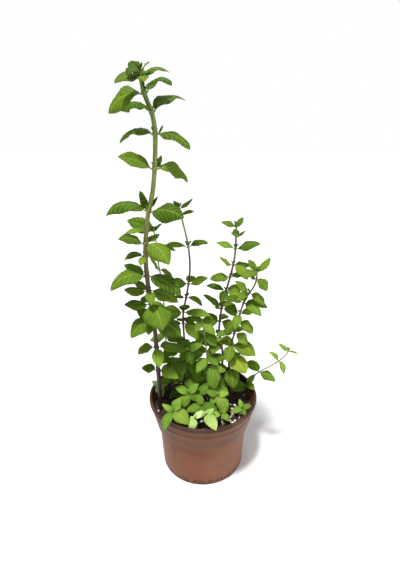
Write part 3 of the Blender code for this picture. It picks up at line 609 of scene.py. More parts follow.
@dataclass(frozen=True)
class StemSkin:
    """A stem whose colour changes as it climbs, with long fine streaks."""

    name: str
    stops: tuple[tuple[float, Colour], ...]

    def make(self) -> bpy.types.Material:
        """Returns the material; the stops are (height in millimetres, colour)."""
        r = Recipe(self.name, 0.45, 0.45)
        here = r.here()
        low, high = self.stops[0][0], self.stops[-1][0]
        wander = (r.cloud(here, 60.0, 2.0) - 0.5) * 0.016
        climb = (r.axis(here, "Z") + wander - low * MM) * (1 / ((high - low) * MM))
        stops = [((z - low) / (high - low), colour) for z, colour in self.stops]
        body = r.add("ShaderNodeValToRGB", {"stops": stops}, {0: climb})
        streaks = r.cloud(r.stretched(here, (1.0, 1.0, 0.12)), 900.0, 3.0)
        dark = r.blend(1.0, body, (0.6, 0.55, 0.5), "MULTIPLY")
        colour = r.blend(streaks.ramp(0.35, 0.7), dark, body)
        r.dress(colour, streaks.ramp(0.2, 0.8, 0.38, 0.58), streaks, 0.0002)
        return r.material


@dataclass(frozen=True)
class PotPlastic:
    """Thin brown nursery-pot plastic: collar darkened as painted shade under the lip, darker lip, scuffs,
    dust and dried water marks.
    """

    body: Colour = (0.178, 0.064, 0.031)
    low: Colour = (0.190, 0.065, 0.034)
    # The collar colour is darker than the body's: painted shade under the overhanging lip
    collar: Colour = (0.120, 0.045, 0.022)
    lip: Colour = (0.036, 0.017, 0.011)

    def make(self) -> bpy.types.Material:
        """Returns the material."""
        r = Recipe("pot plastic", 0.5, 0.15)
        here = r.here()
        z = r.axis(here, "Z")
        # The collar band takes the darker collar colour, painted shade under the lip
        stops = [(0.0, shade(self.low, 0.72)), (0.05, self.low), (0.35, self.body), (0.58, self.body),
                 (0.66, self.collar), (0.92, self.collar), (0.955, self.lip), (1.0, self.lip)]
        plain = r.add("ShaderNodeValToRGB", {"stops": stops}, {0: z * (1 / 0.105)})
        blotch = r.cloud(here, 22.0, 4.0)
        stains = r.cloud(here, 34.0, 5.0).ramp(0.42, 0.72)
        stained = r.blend(stains * 0.5, plain, r.blend(0.4, plain, (0.05, 0.025, 0.015)))
        worn = r.blend(blotch.ramp(0.35, 0.75) * 0.5, stained, r.blend(0.3, stained, (0.42, 0.22, 0.14)))
        drips = r.cloud(r.stretched(here, (1.0, 1.0, 0.09)), 150.0, 3.0)
        marks = drips.ramp(0.6, 0.78) * r.cloud(here, 35.0, 2.0).ramp(0.45, 0.7)
        dusty = r.blend(marks * 0.22, worn, (0.46, 0.31, 0.22))
        specks = r.cloud(here, 420.0, 2.0).ramp(0.7, 0.76)
        nicks = r.cloud(here, 150.0, 3.0).ramp(0.44, 0.54) * z.ramp(0.004, 0.011, 1, 0)
        dirt = specks.math("MAXIMUM", nicks)
        colour = r.blend(dirt * 0.85, dusty, (0.03, 0.018, 0.013))
        grain = r.cloud(here, 1500.0, 2.0)
        height = blotch * 0.6 + grain * 0.12 + drips * 0.1
        r.dress(colour, (blotch * 0.2 + marks * 0.2).ramp(0.0, 0.4, 0.42, 0.66), height, 0.0008)
        return r.material


@dataclass(frozen=True)
class PottingSoil:
    """Dark damp peat mix with browner crumbs and dry pale flecks."""

    dark: Colour = (0.016, 0.010, 0.007)
    brown: Colour = (0.062, 0.034, 0.02)

    def make(self) -> bpy.types.Material:
        """Returns the material."""
        r = Recipe("potting soil", 0.92, 0.25)
        here = r.here()
        lumps = r.cloud(here, 260.0, 6.0)
        crumbs = r.cells(here, 520.0)
        base = r.blend(lumps.ramp(0.36, 0.68), self.dark, self.brown)
        flecks = r.cloud(here, 1100.0, 2.0).ramp(0.68, 0.74)
        colour = r.blend(flecks * 0.5, base, (0.2, 0.13, 0.08))
        r.dress(colour, lumps.ramp(0.3, 0.7, 0.8, 0.98), lumps + crumbs * 0.6, 0.0016)
        return r.material


@dataclass(frozen=True)
class Grit:
    """Perlite, or a crumb of bark, with a finely pitted skin."""

    name: str
    light: Colour
    dark: Colour
    scale: float

    def make(self) -> bpy.types.Material:
        """Returns the material."""
        r = Recipe(self.name, 0.88, 0.3)
        here = r.here()
        pits = r.cloud(here, self.scale, 4.0)
        r.dress(r.blend(pits.ramp(0.35, 0.65), self.dark, self.light), pits.ramp(0.3, 0.7, 0.95, 0.8), pits,
                0.0004)
        return r.material


@dataclass(frozen=True)
class StudioFloor:
    """A pale matt floor."""

    colour: Colour = (0.71, 0.71, 0.71)

    def make(self) -> bpy.types.Material:
        """Returns the material."""
        r = Recipe("studio floor", 0.85, 0.2)
        faint = r.cloud(r.here(), 3.0, 2.0)
        r.dress(r.blend(faint.ramp(0.3, 0.7), self.colour, shade(self.colour, 1.02)))
        return r.material


class Green(Enum):
    """The four leaf finishes, each named as the record's slot."""

    DARK = "leaf_dark"
    MID = "leaf_mid"
    YOUNG = "leaf_young"
    PALE = "leaf_pale"


# Blade colour at its darkest and at its lightest, and how light glows through it
GREENS = {
    Green.DARK: ((0.050, 0.104, 0.006), (0.192, 0.285, 0.024), (0.24, 0.42, 0.02), 0.20),
    Green.MID: ((0.066, 0.128, 0.008), (0.272, 0.378, 0.038), (0.36, 0.56, 0.03), 0.24),
    Green.YOUNG: ((0.058, 0.130, 0.007), (0.34, 0.50, 0.085), (0.55, 0.74, 0.10), 0.30),
    Green.PALE: ((0.34, 0.50, 0.14), (0.74, 0.86, 0.40), (0.8, 0.86, 0.36), 0.30),
}


class Stalk(Enum):
    """The stem finishes."""

    MAIN = "main"
    SECOND = "second"
    RIGHT = "right"
    FORKED = "forked"
    YOUNG = "young"
    TRAILING = "trailing"


STALKS = {
    Stalk.MAIN: StemSkin("main stem skin", (
        (74, (0.030, 0.012, 0.012)), (160, (0.045, 0.020, 0.018)), (225, (0.062, 0.030, 0.021)),
        (262, (0.085, 0.055, 0.024)), (300, (0.135, 0.115, 0.03)), (345, (0.19, 0.21, 0.042)),
        (400, (0.20, 0.27, 0.048)), (486, (0.12, 0.25, 0.032)))),
    Stalk.SECOND: StemSkin("second stem skin", (
        (74, (0.035, 0.014, 0.015)), (200, (0.085, 0.032, 0.032)), (290, (0.12, 0.06, 0.045)),
        (318, (0.26, 0.34, 0.12)), (350, (0.20, 0.40, 0.08)))),
    Stalk.RIGHT: StemSkin("right stem skin", (
        (74, (0.02, 0.010, 0.010)), (200, (0.055, 0.025, 0.024)), (265, (0.12, 0.055, 0.05)),
        (300, (0.14, 0.16, 0.05)), (324, (0.14, 0.30, 0.05)))),
    Stalk.FORKED: StemSkin("forked stem skin", (
        (74, (0.03, 0.015, 0.012)), (150, (0.065, 0.04, 0.022)), (215, (0.12, 0.10, 0.035)),
        (278, (0.15, 0.27, 0.05)))),
    Stalk.YOUNG: StemSkin("young stem skin", (
        (74, (0.05, 0.035, 0.02)), (110, (0.13, 0.13, 0.04)), (160, (0.20, 0.30, 0.07)),
        (320, (0.17, 0.33, 0.06)))),
    Stalk.TRAILING: StemSkin("trailing stem skin", (
        (74, (0.08, 0.10, 0.02)), (130, (0.10, 0.16, 0.03)), (172, (0.13, 0.22, 0.05)))),
}


def begin() -> None:
    """Leaves edit mode and deselects everything."""
    if bpy.context.object and bpy.context.object.mode != "OBJECT":
        bpy.ops.object.mode_set(mode="OBJECT")
    bpy.ops.object.select_all(action="DESELECT")


def pick(*objects: bpy.types.Object) -> None:
    """Selects these objects alone, the first one active."""
    begin()
    for obj in objects:
        obj.select_set(True)
    bpy.context.view_layer.objects.active = objects[0]


def joined(name: str, parts: Sequence[bpy.types.Object]) -> bpy.types.Object:
    """Joins parts into one named object."""
    pick(*parts)
    if len(parts) > 1:
        bpy.ops.object.join()
    parts[0].name = name
    parts[0].data.name = name
    return parts[0]


def hand_in(piece: bpy.types.Object, slot: str, *nodes: str) -> None:
    """Fixes a finished piece to the frame's body, in the place of its CAD nodes."""
    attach(piece, "root")
    if nodes:
        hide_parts(*nodes)
    LOG.info("%s: %d faces", piece.name, len(piece.data.polygons))


class Mould:
    """A grid of rows and columns, modelled once, that casts sheets and tubes of one make."""

    def __init__(self, rows: int, columns: int, tube: bool) -> None:
        """Models the mould.

        Args:
            rows: the number of points along.
            columns: the number of points across, or round a tube.
            tube: True to join its two sides into a tube and close both its ends.
        """
        begin()
        bpy.ops.mesh.primitive_grid_add(x_subdivisions=columns if tube else columns - 1,
                                        y_subdivisions=rows - 1, size=2)
        self.body = bpy.context.object
        self.body.name = "mould"
        if tube:
            self.roll_up(rows)
        places = self.places(self.body.data)
        if tube:
            turn = np.arctan2(places[:, 1], places[:, 0]) / tau * columns
            self.column = np.rint(turn).astype(int) % columns
            self.row = np.rint(places[:, 2]).astype(int)
        else:
            self.column = np.rint((places[:, 0] + 1) / 2 * (columns - 1)).astype(int)
            self.row = np.rint((places[:, 1] + 1) / 2 * (rows - 1)).astype(int)
        self.body.data.shade_smooth()

    def roll_up(self, rows: int) -> None:
        """Rolls the flat grid into an upright tube of radius 1, a unit high for each row."""
        places = self.places(self.body.data)
        angle = (places[:, 0] + 1) * pi
        height = (places[:, 1] + 1) / 2 * (rows - 1)
        rolled = np.stack((np.cos(angle), np.sin(angle), height), axis=1)
        self.body.data.vertices.foreach_set("co", rolled.ravel())
        bpy.ops.object.mode_set(mode="EDIT")
        bpy.ops.mesh.select_all(action="SELECT")
        bpy.ops.mesh.remove_doubles(threshold=0.0001)
        bpy.ops.mesh.fill_holes(sides=0)
        bpy.ops.mesh.normals_make_consistent(inside=False)
        bpy.ops.object.mode_set(mode="OBJECT")

    @staticmethod
    def places(data: bpy.types.Mesh) -> np.ndarray:
        """The mesh's points, one row each."""
        flat = np.empty(len(data.vertices) * 3)
        data.vertices.foreach_get("co", flat)
        return flat.reshape(-1, 3)

    def cast(self, name: str, points: np.ndarray, materials: Iterable[bpy.types.Material],
             **values: np.ndarray) -> bpy.types.Object:
        """Casts one piece.

        Args:
            name: the object's name.
            points: the places of rows and columns, in millimetres.
            materials: its materials, in slot order.
            values: what to keep on the mesh: "uv" for the UV map, and attributes by name.

        Returns:
            The new object, at the origin.
        """
        obj = self.body.copy()
        obj.data = self.body.data.copy()
        obj.name = name
        bpy.context.scene.collection.objects.link(obj)
        data = obj.data
        data.vertices.foreach_set("co", (points[self.row, self.column] * MM).ravel())
        for key, grid in values.items():
            at_points = grid[self.row, self.column]
            if key == "uv":
                index = np.empty(len(data.loops), dtype=int)
                data.loops.foreach_get("vertex_index", index)
                data.uv_layers.active.data.foreach_set("uv", at_points[index].ravel())
            elif grid.ndim == 3:
                kept = data.attributes.new(key, "FLOAT_COLOR", "POINT")
                kept.data.foreach_set("color", at_points.ravel())
            else:
                kept = data.attributes.new(key, "FLOAT", "POINT")
                kept.data.foreach_set("value", at_points.ravel())
        for material in materials:
            data.materials.append(material)
        data.update()
        return obj

    def put_away(self) -> None:
        """Removes the mould itself."""
        bpy.data.objects.remove(self.body, do_unlink=True)


class Moulds:
    """The moulds in use, by their make."""

    kept: dict[tuple[int, int, bool], Mould] = {}

    @classmethod
    def get(cls, rows: int, columns: int, tube: bool) -> Mould:
        """The mould of this make, modelled at its first use."""
        key = (rows, columns, tube)
        if key not in cls.kept:
            cls.kept[key] = Mould(rows, columns, tube)
        return cls.kept[key]

    @classmethod
    def put_away(cls) -> None:
        """Removes every mould."""
        for mould in cls.kept.values():
            mould.put_away()
        cls.kept.clear()


@dataclass(frozen=True)
class BladeMake:
    """How the blades of one part of the plant are cut and crinkled, as shares of their size."""

    teeth: int = 9
    tooth: float = 0.09
    stalk: float = 0.03
    base_curve: float = 0.5
    tip_curve: float = 0.72
    side_ribs: float = 6.5
    rib_lean: float = 1.1
    pucker: float = 0.022
    fold: float = 0.26
    curl: float = 0.34
    wave: float = 0.13
    thickness: float = 0.34
    breadth: float = 1.06


ACROSS = np.array((-1.0, -0.84, -0.62, -0.38, -0.16, 0.0, 0.16, 0.38, 0.62, 0.84, 1.0))
STALK_HALF_WIDTH = 0.5


@dataclass
class Blade:
    """One leaf blade with its stalk and midrib: ovate, toothed, veined and puckered."""

    leaf: Leaf
    base: Vector
    make: BladeMake
    green: Green
    tone: float
    rng: Random

    def shares(self) -> np.ndarray:
        """The places of the rows along the leaf: the stalk, then three for each tooth."""
        start = self.make.stalk
        teeth = [start + (1 - start) * (k + f) / self.make.teeth
                 for k in range(self.make.teeth) for f in (0.0, 0.45, 0.92)]
        return np.array([-0.9 / self.leaf.length, 0.0, start * 0.6, *teeth, 1.0])

    def spine(self, shares: Iterable[float]) -> tuple[np.ndarray, np.ndarray, np.ndarray, np.ndarray]:
        """The midrib's points with the ways across, up and along there."""
        twist = radians(self.rng.uniform(-9, 9))
        points, sides, ups, alongs = [], [], [], []
        for share in shares:
            along = self.leaf.direction(share)
            side, up = self.leaf.across(share)
            angle = twist * max(share, 0)
            side, up = side * cos(angle) + up * sin(angle), up * cos(angle) - side * sin(angle)
            if share > 0:
                points.append(self.leaf.middle(self.base, share))
            else:
                points.append(self.base + along * (share * self.leaf.length))
            sides.append(-side)
            ups.append(up)
            alongs.append(along)
        return tuple(np.array(rows) for rows in (points, sides, ups, alongs))

    def half_widths(self, shares: np.ndarray) -> np.ndarray:
        """Half of the blade's width at each row."""
        a, b = self.make.base_curve, self.make.tip_curve
        peak = (a / (a + b)) ** a * (b / (a + b)) ** b
        x = np.clip((shares - self.make.stalk) / (1 - self.make.stalk), 0, 1)
        outline = x ** a * (1 - x) ** b / peak
        widest = self.leaf.width * self.leaf.length * self.make.breadth / 2
        stalk = STALK_HALF_WIDTH * min(1.0, self.leaf.length / 26) * (1 - x)
        return np.maximum(outline * widest, stalk)

    def teeth(self, shares: np.ndarray) -> np.ndarray:
        """How far each row stands towards its tooth's point, from 0 to 1."""
        x = (shares - self.make.stalk) / (1 - self.make.stalk) * self.make.teeth
        return np.where((shares >= self.make.stalk) & (shares < 1), x - np.floor(x + 1e-6), 0.6)

    def cast(self, name: str, skins: Sequence[bpy.types.Material]) -> list[bpy.types.Object]:
        """Casts the blade and its midrib.

        Args:
            name: the name of the leaf.
            skins: the upper and the lower skin.

        Returns:
            The blade, still a sheet, and the midrib.
        """
        make, rng, length = self.make, self.rng, self.leaf.length
        s = self.shares()
        points, sides, ups, alongs = self.spine(s)
        half = self.half_widths(s)
        tooth = self.teeth(s)
        t = ACROSS[None, :]
        x = np.abs(t)
        edge = x ** 5
        reach = half[:, None] * t * (1 - make.tooth * (1 - tooth[:, None]) * edge)
        ribs = (s[:, None] - x * half[:, None] * make.rib_lean / length) * make.side_ribs + 1
        between = (1 - np.cos(tau * ribs)) / 2
        swell = np.clip(x / 0.3, 0, 1) * np.clip((s[:, None] - make.stalk) / 0.1, 0, 1)
        lift = make.pucker * length * between * swell * np.clip((1.02 - s[:, None]) / 0.2, 0, 1)
        fold = make.fold * rng.uniform(0.5, 1.4)
        curl = make.curl * rng.uniform(0.4, 1.5)
        lift += (fold * x - curl * x ** 2) * half[:, None]
        waves = np.sin(tau * (s[:, None] * rng.uniform(1.0, 2.2) + rng.random() + (t > 0) * 0.4))
        lift += make.wave * waves * x ** 3 * half[:, None]
        forward = make.tooth * 0.8 * tooth[:, None] * edge * half[:, None]
        grid = (points[:, None] + sides[:, None] * reach[..., None] + ups[:, None] * lift[..., None]
                + alongs[:, None] * forward[..., None])
        uv = np.stack(np.broadcast_arrays((t + 1) / 2, s[:, None]), axis=2)
        blade = Moulds.get(len(s), len(ACROSS), False).cast(
            name, grid, skins, uv=uv, leaf_colour=self.colours(s), side_rib=ribs)
        return [blade, self.midrib(name, skins[1])]

    def colours(self, shares: np.ndarray) -> np.ndarray:
        """The blade's colour from its tone, which carries the painted sheen and shade of the tone table, a
        little yellower towards its tip and edges.
        """
        low, high = GREENS[self.green][:2]
        tone = self.tone + self.rng.uniform(-0.42, 0.36)
        warm = self.rng.uniform(0.86, 1.08)
        own = np.array([max(0.3 * a, a + (b - a) * tone) for a, b in zip(low, high)]) * (warm, 1.0, 0.95)
        grow = 0.93 + 0.12 * np.clip(shares, 0, 1)[:, None] * np.ones_like(ACROSS)[None, :]
        colours = np.ones((*grow.shape, 4))
        rim = (np.abs(ACROSS) ** 4)[None, :, None]
        colours[..., :3] = own * grow[..., None] + np.array((0.012, 0.01, 0)) * rim
        return colours

    def midrib(self, name: str, skin: bpy.types.Material) -> bpy.types.Object:
        """The round stalk, which runs on as the midrib under the blade."""
        length = self.leaf.length
        shares = np.array((-1.2 / length, 0.0, 0.05, 0.12, 0.28, 0.5, 0.7, 0.86))
        points, sides, ups, _ = self.spine(shares)
        thick = 0.52 * min(1.3, max(0.55, length / 30))
        radius = thick * np.array((1.15, 1.0, 0.9, 0.8, 0.62, 0.45, 0.3, 0.14))
        sink = radius * 0.7 + 0.05
        angles = tau * np.arange(6) / 6
        ring = (ups[:, None] * np.cos(angles)[None, :, None] + sides[:, None] * np.sin(angles)[None, :, None])
        grid = (points - ups * sink[:, None])[:, None] + ring * radius[:, None, None]
        own = self.colours(shares)[:, :1]
        colour = np.broadcast_to(own, (8, 6, 4)).copy()
        zeros = np.zeros((8, 6))
        return Moulds.get(8, 6, True).cast(name + "_midrib", grid, [skin], leaf_colour=colour, side_rib=zeros)


@dataclass(frozen=True)
class StemRun:
    """A length of mint stem: rounded square, swollen at its joints and narrower as it climbs."""

    route: Route
    bottom: float
    top: float
    radius_at: ByHeight
    joints: tuple[float, ...]
    skin: Stalk
    step: float = 3.0
    sides: int = 12
    swell: float = 0.2

    def rings(self) -> np.ndarray:
        """The rings of points from the bottom to the closed top, in millimetres."""
        count = max(4, int((self.top - self.bottom) / self.step))
        heights = {round(self.bottom + (self.top - self.bottom) * i / count, 3) for i in range(count + 1)}
        for joint in self.joints:
            heights |= {round(joint + d, 3) for d in (-1.4, 0.0, 1.4) if self.bottom < joint + d < self.top}
        rings = []
        for z in sorted(heights):
            first, second = self.route.square_to(z)
            bulge = sum(exp(-((z - joint) / 2.2) ** 2) for joint in self.joints)
            radius = self.radius_at(z) * (1 + self.swell * min(1.0, bulge))
            rings.append(self.ring(self.route.at(z), first, second, radius))
        for rise, share in ((0.35, 0.75), (0.5, 0.3)):
            end = self.route.at(self.top + rise)
            first, second = self.route.square_to(self.top)
            rings.append(self.ring(end, first, second, self.radius_at(self.top) * share))
        return np.array(rings)

    def ring(self, middle: Vector, first: Vector, second: Vector, radius: float) -> list[Vector]:
        """One rounded-square ring."""
        points = []
        for i in range(self.sides):
            a = tau * i / self.sides
            squared = radius * (1 + 0.07 * cos(4 * a))
            points.append(middle + (first * cos(a) + second * sin(a)) * squared)
        return points

    def cast(self, name: str, skins: dict[Stalk, bpy.types.Material]) -> bpy.types.Object:
        """Casts the stem."""
        rings = self.rings()
        return Moulds.get(len(rings), self.sides, True).cast(name, rings, [skins[self.skin]])


@dataclass
class Wardrobe:
    """Every plant finish, made once."""

    leaf: dict[Green, list[bpy.types.Material]] = field(default_factory=dict)
    stalk: dict[Stalk, bpy.types.Material] = field(default_factory=dict)

    def fill(self) -> None:
        """Makes the finishes."""
        for green, (_, _, glow, through) in GREENS.items():
            upper = LeafSkin(green.value + " upper", glow, through).make()
            lower = LeafSkin(green.value + " under", glow, through, True).make()
            self.leaf[green] = [upper, lower]
        for stalk, skin in STALKS.items():
            self.stalk[stalk] = skin.make()


@dataclass
class Foliage:
    """One CAD node of the plant: a length of stem or a joint, with its leaves."""

    node: str
    run: StemRun | None
    flat_radius: ByHeight
    route: Route
    whorls: Sequence[tuple[float, Sequence[tuple]]]
    green: Green
    tone: float
    make: BladeMake = BladeMake()
    buds: tuple[Place, ...] = ()

    def build(self, wardrobe: Wardrobe) -> None:
        """Builds the node's piece from the finishes and hands it in."""
        skins = wardrobe.leaf[self.green]
        sheets, rounds = [], []
        leaves = placed_leaves(self.node, self.route, self.flat_radius, self.whorls) if self.whorls else []
        leaves += self.bud_leaves()
        for i, (leaf, base) in enumerate(leaves):
            rng = Random(f"{self.node} {i}")
            make = self.make if leaf.length >= SMALL_LEAF else replace(
                self.make, teeth=7, base_curve=0.5, side_ribs=5.0, pucker=0.022, fold=self.make.fold + 0.08)
            tone = self.tone + (TINY_TONE if leaf.length < TINY_LEAF else 0.0)
            # The tone table lightens some leaves as painted sheen and darkens others as painted shade
            tone += LEAF_TONES_AND_PAINTED_LIGHT.get(self.node, {}).get(i, 0.0)
            blade = Blade(leaf, base, make, self.green, tone, rng)
            sheet, rib = blade.cast(f"{self.node}_{i}", skins)
            sheets.append(sheet)
            rounds.append(rib)
        parts = []
        if sheets:
            parts.append(self.thicken(joined(self.node, sheets)))
            parts += rounds
        if self.run:
            parts.append(self.run.cast(self.node + "_stem", wardrobe.stalk))
        hand_in(joined("visual_" + self.node, parts), self.green.value, self.node)

    def bud_leaves(self) -> list[tuple[Leaf, Vector]]:
        """The unopened leaves at a growing tip or in an axil, from (height, heading, length)."""
        made = []
        for height, heading, length in self.buds:
            h = radians(heading)
            base = self.route.at(height) + Vector((cos(h), sin(h), 0)) * 0.5
            made.append((Leaf(heading, length, 0.5, 78, 40), base))
        return made

    def thicken(self, sheet: bpy.types.Object) -> bpy.types.Object:
        """Gives the joined blades their thickness, with the paler skin below."""
        pick(sheet)
        modifier = sheet.modifiers.new("thickness", "SOLIDIFY")
        modifier.thickness = self.make.thickness * MM
        modifier.offset = 0
        modifier.material_offset = 1
        bpy.ops.object.modifier_apply(modifier=modifier.name)
        return sheet


@dataclass(frozen=True)
class NurseryPot:
    """The thin moulded pot: rolled lip, tapered collar with a raised line, step, body and a drained floor."""

    rim: float = 70.0
    height: float = 105.0
    base: float = 54.0
    lip_height: float = 5.5
    lip_inside: float = 66.4
    collar_top: float = 68.2
    step: float = 65.0
    collar_foot: float = 61.0
    body_top: float = 57.5
    wall: float = 1.6
    floor: float = 2.0
    drains: int = 6
    drain_radius: float = 3.5
    drain_ring: float = 36.0
    sides: int = 160

    def inside(self, z: float) -> float:
        """The pot's inside radius at height z."""
        if z < self.step + self.wall:
            return self.base - self.wall + (self.body_top - self.base) * min(z / self.step, 1)
        share = (z - self.step) / (self.height - self.lip_height - self.step)
        return self.collar_foot - self.wall + (self.collar_top - self.collar_foot) * share

    def profile(self) -> list[tuple[float, float]]:
        """(radius, height) up the outside, over the lip and down the inside to the floor."""
        rim, height, base, mouth, floor = self.rim, self.height, self.base, self.lip_inside, self.floor
        top, foot, waist, step, wall = self.collar_top, self.collar_foot, self.body_top, self.step, self.wall
        lip = height - self.lip_height
        line = 87.5
        at_line = foot + (top - foot) * (line - step) / (lip - step)
        body = [(base + (waist - base) * z / step, z) for z in (3.2, 12, 26, 40, 54, 62)]
        return [(base - 1.6, 0), (base - 0.5, 0.35), (base, 1.3), *body, (waist, step - 1.7),
                (waist + 0.5, step - 0.9), (foot - 1.0, step - 0.25), (foot - 0.3, step + 0.1),
                (foot, step + 0.8), (foot + 1.6, step + 8), (at_line - 1.6, line - 8),
                (at_line - 0.25, line - 1.2), (at_line + 0.3, line - 0.5), (at_line + 0.35, line + 0.3),
                (at_line + 0.12, line + 1.0), (top - 0.2, lip - 0.8), (top + 0.3, lip - 0.1),
                (rim - 0.7, lip), (rim - 0.15, lip + 0.5), (rim, lip + 1.5), (rim, height - 1.4),
                (rim - 0.35, height - 0.4), (rim - 1.1, height), (mouth + 1.2, height),
                (mouth + 0.3, height - 0.4), (mouth, height - 1.3), (self.inside(lip), lip - 0.6),
                (self.inside(84), 84), (self.inside(70), 70), (self.inside(step + wall), step + wall),
                (waist - wall, step - 0.6), (self.inside(30), 30), (self.inside(floor), floor + 1.0),
                (self.inside(floor) - 1.0, floor), (self.drain_ring, floor), (1.0, floor)]

    def build(self) -> None:
        """Draws the wall up from a disc, pierces the floor and hands the pot in."""
        begin()
        profile = self.profile()
        bpy.ops.mesh.primitive_circle_add(vertices=self.sides, radius=profile[0][0] * MM, fill_type="NGON")
        pot = bpy.context.object
        bpy.ops.object.mode_set(mode="EDIT")
        bpy.ops.mesh.select_all(action="SELECT")
        for (r0, z0), (r1, z1) in zip(profile, profile[1:]):
            bpy.ops.mesh.extrude_region_move(TRANSFORM_OT_translate={"value": (0, 0, (z1 - z0) * MM)})
            bpy.ops.transform.resize(value=(r1 / r0, r1 / r0, 1), center_override=(0, 0, z1 * MM))
        bpy.ops.mesh.select_all(action="SELECT")
        bpy.ops.mesh.normals_make_consistent(inside=False)
        bpy.ops.object.mode_set(mode="OBJECT")
        self.pierce(pot)
        self.warp(pot)
        pot.data.materials.append(PotPlastic().make())
        pick(pot)
        bpy.ops.object.shade_smooth_by_angle(angle=radians(35))
        pot.name = "visual_pot"
        hand_in(pot, "pot_plastic", "pot")

    def pierce(self, pot: bpy.types.Object) -> None:
        """Cuts the drain holes."""
        drills = []
        for i in range(self.drains):
            a = tau * i / self.drains
            begin()
            bpy.ops.mesh.primitive_cylinder_add(
                vertices=32, radius=self.drain_radius * MM, depth=4 * self.floor * MM,
                location=(self.drain_ring * MM * cos(a), self.drain_ring * MM * sin(a), self.floor * MM / 2))
            drills.append(bpy.context.object)
        drill = joined("drill", drills)
        pick(pot)
        cut = pot.modifiers.new("drains", "BOOLEAN")
        cut.operation = "DIFFERENCE"
        cut.solver = "EXACT"
        cut.object = drill
        bpy.ops.object.modifier_apply(modifier=cut.name)
        bpy.data.objects.remove(drill, do_unlink=True)

    def warp(self, pot: bpy.types.Object) -> None:
        """Leaves the thin wall a little out of round, more so towards the top."""
        for vert in pot.data.vertices:
            x, y, z = vert.co
            turn = np.arctan2(y, x)
            rise = z / (self.height * MM)
            k = 1 + (0.0035 * sin(2 * turn + 0.7) + 0.0016 * sin(5 * turn + 2.0)) * rise
            vert.co.x = x * k
            vert.co.y = y * k


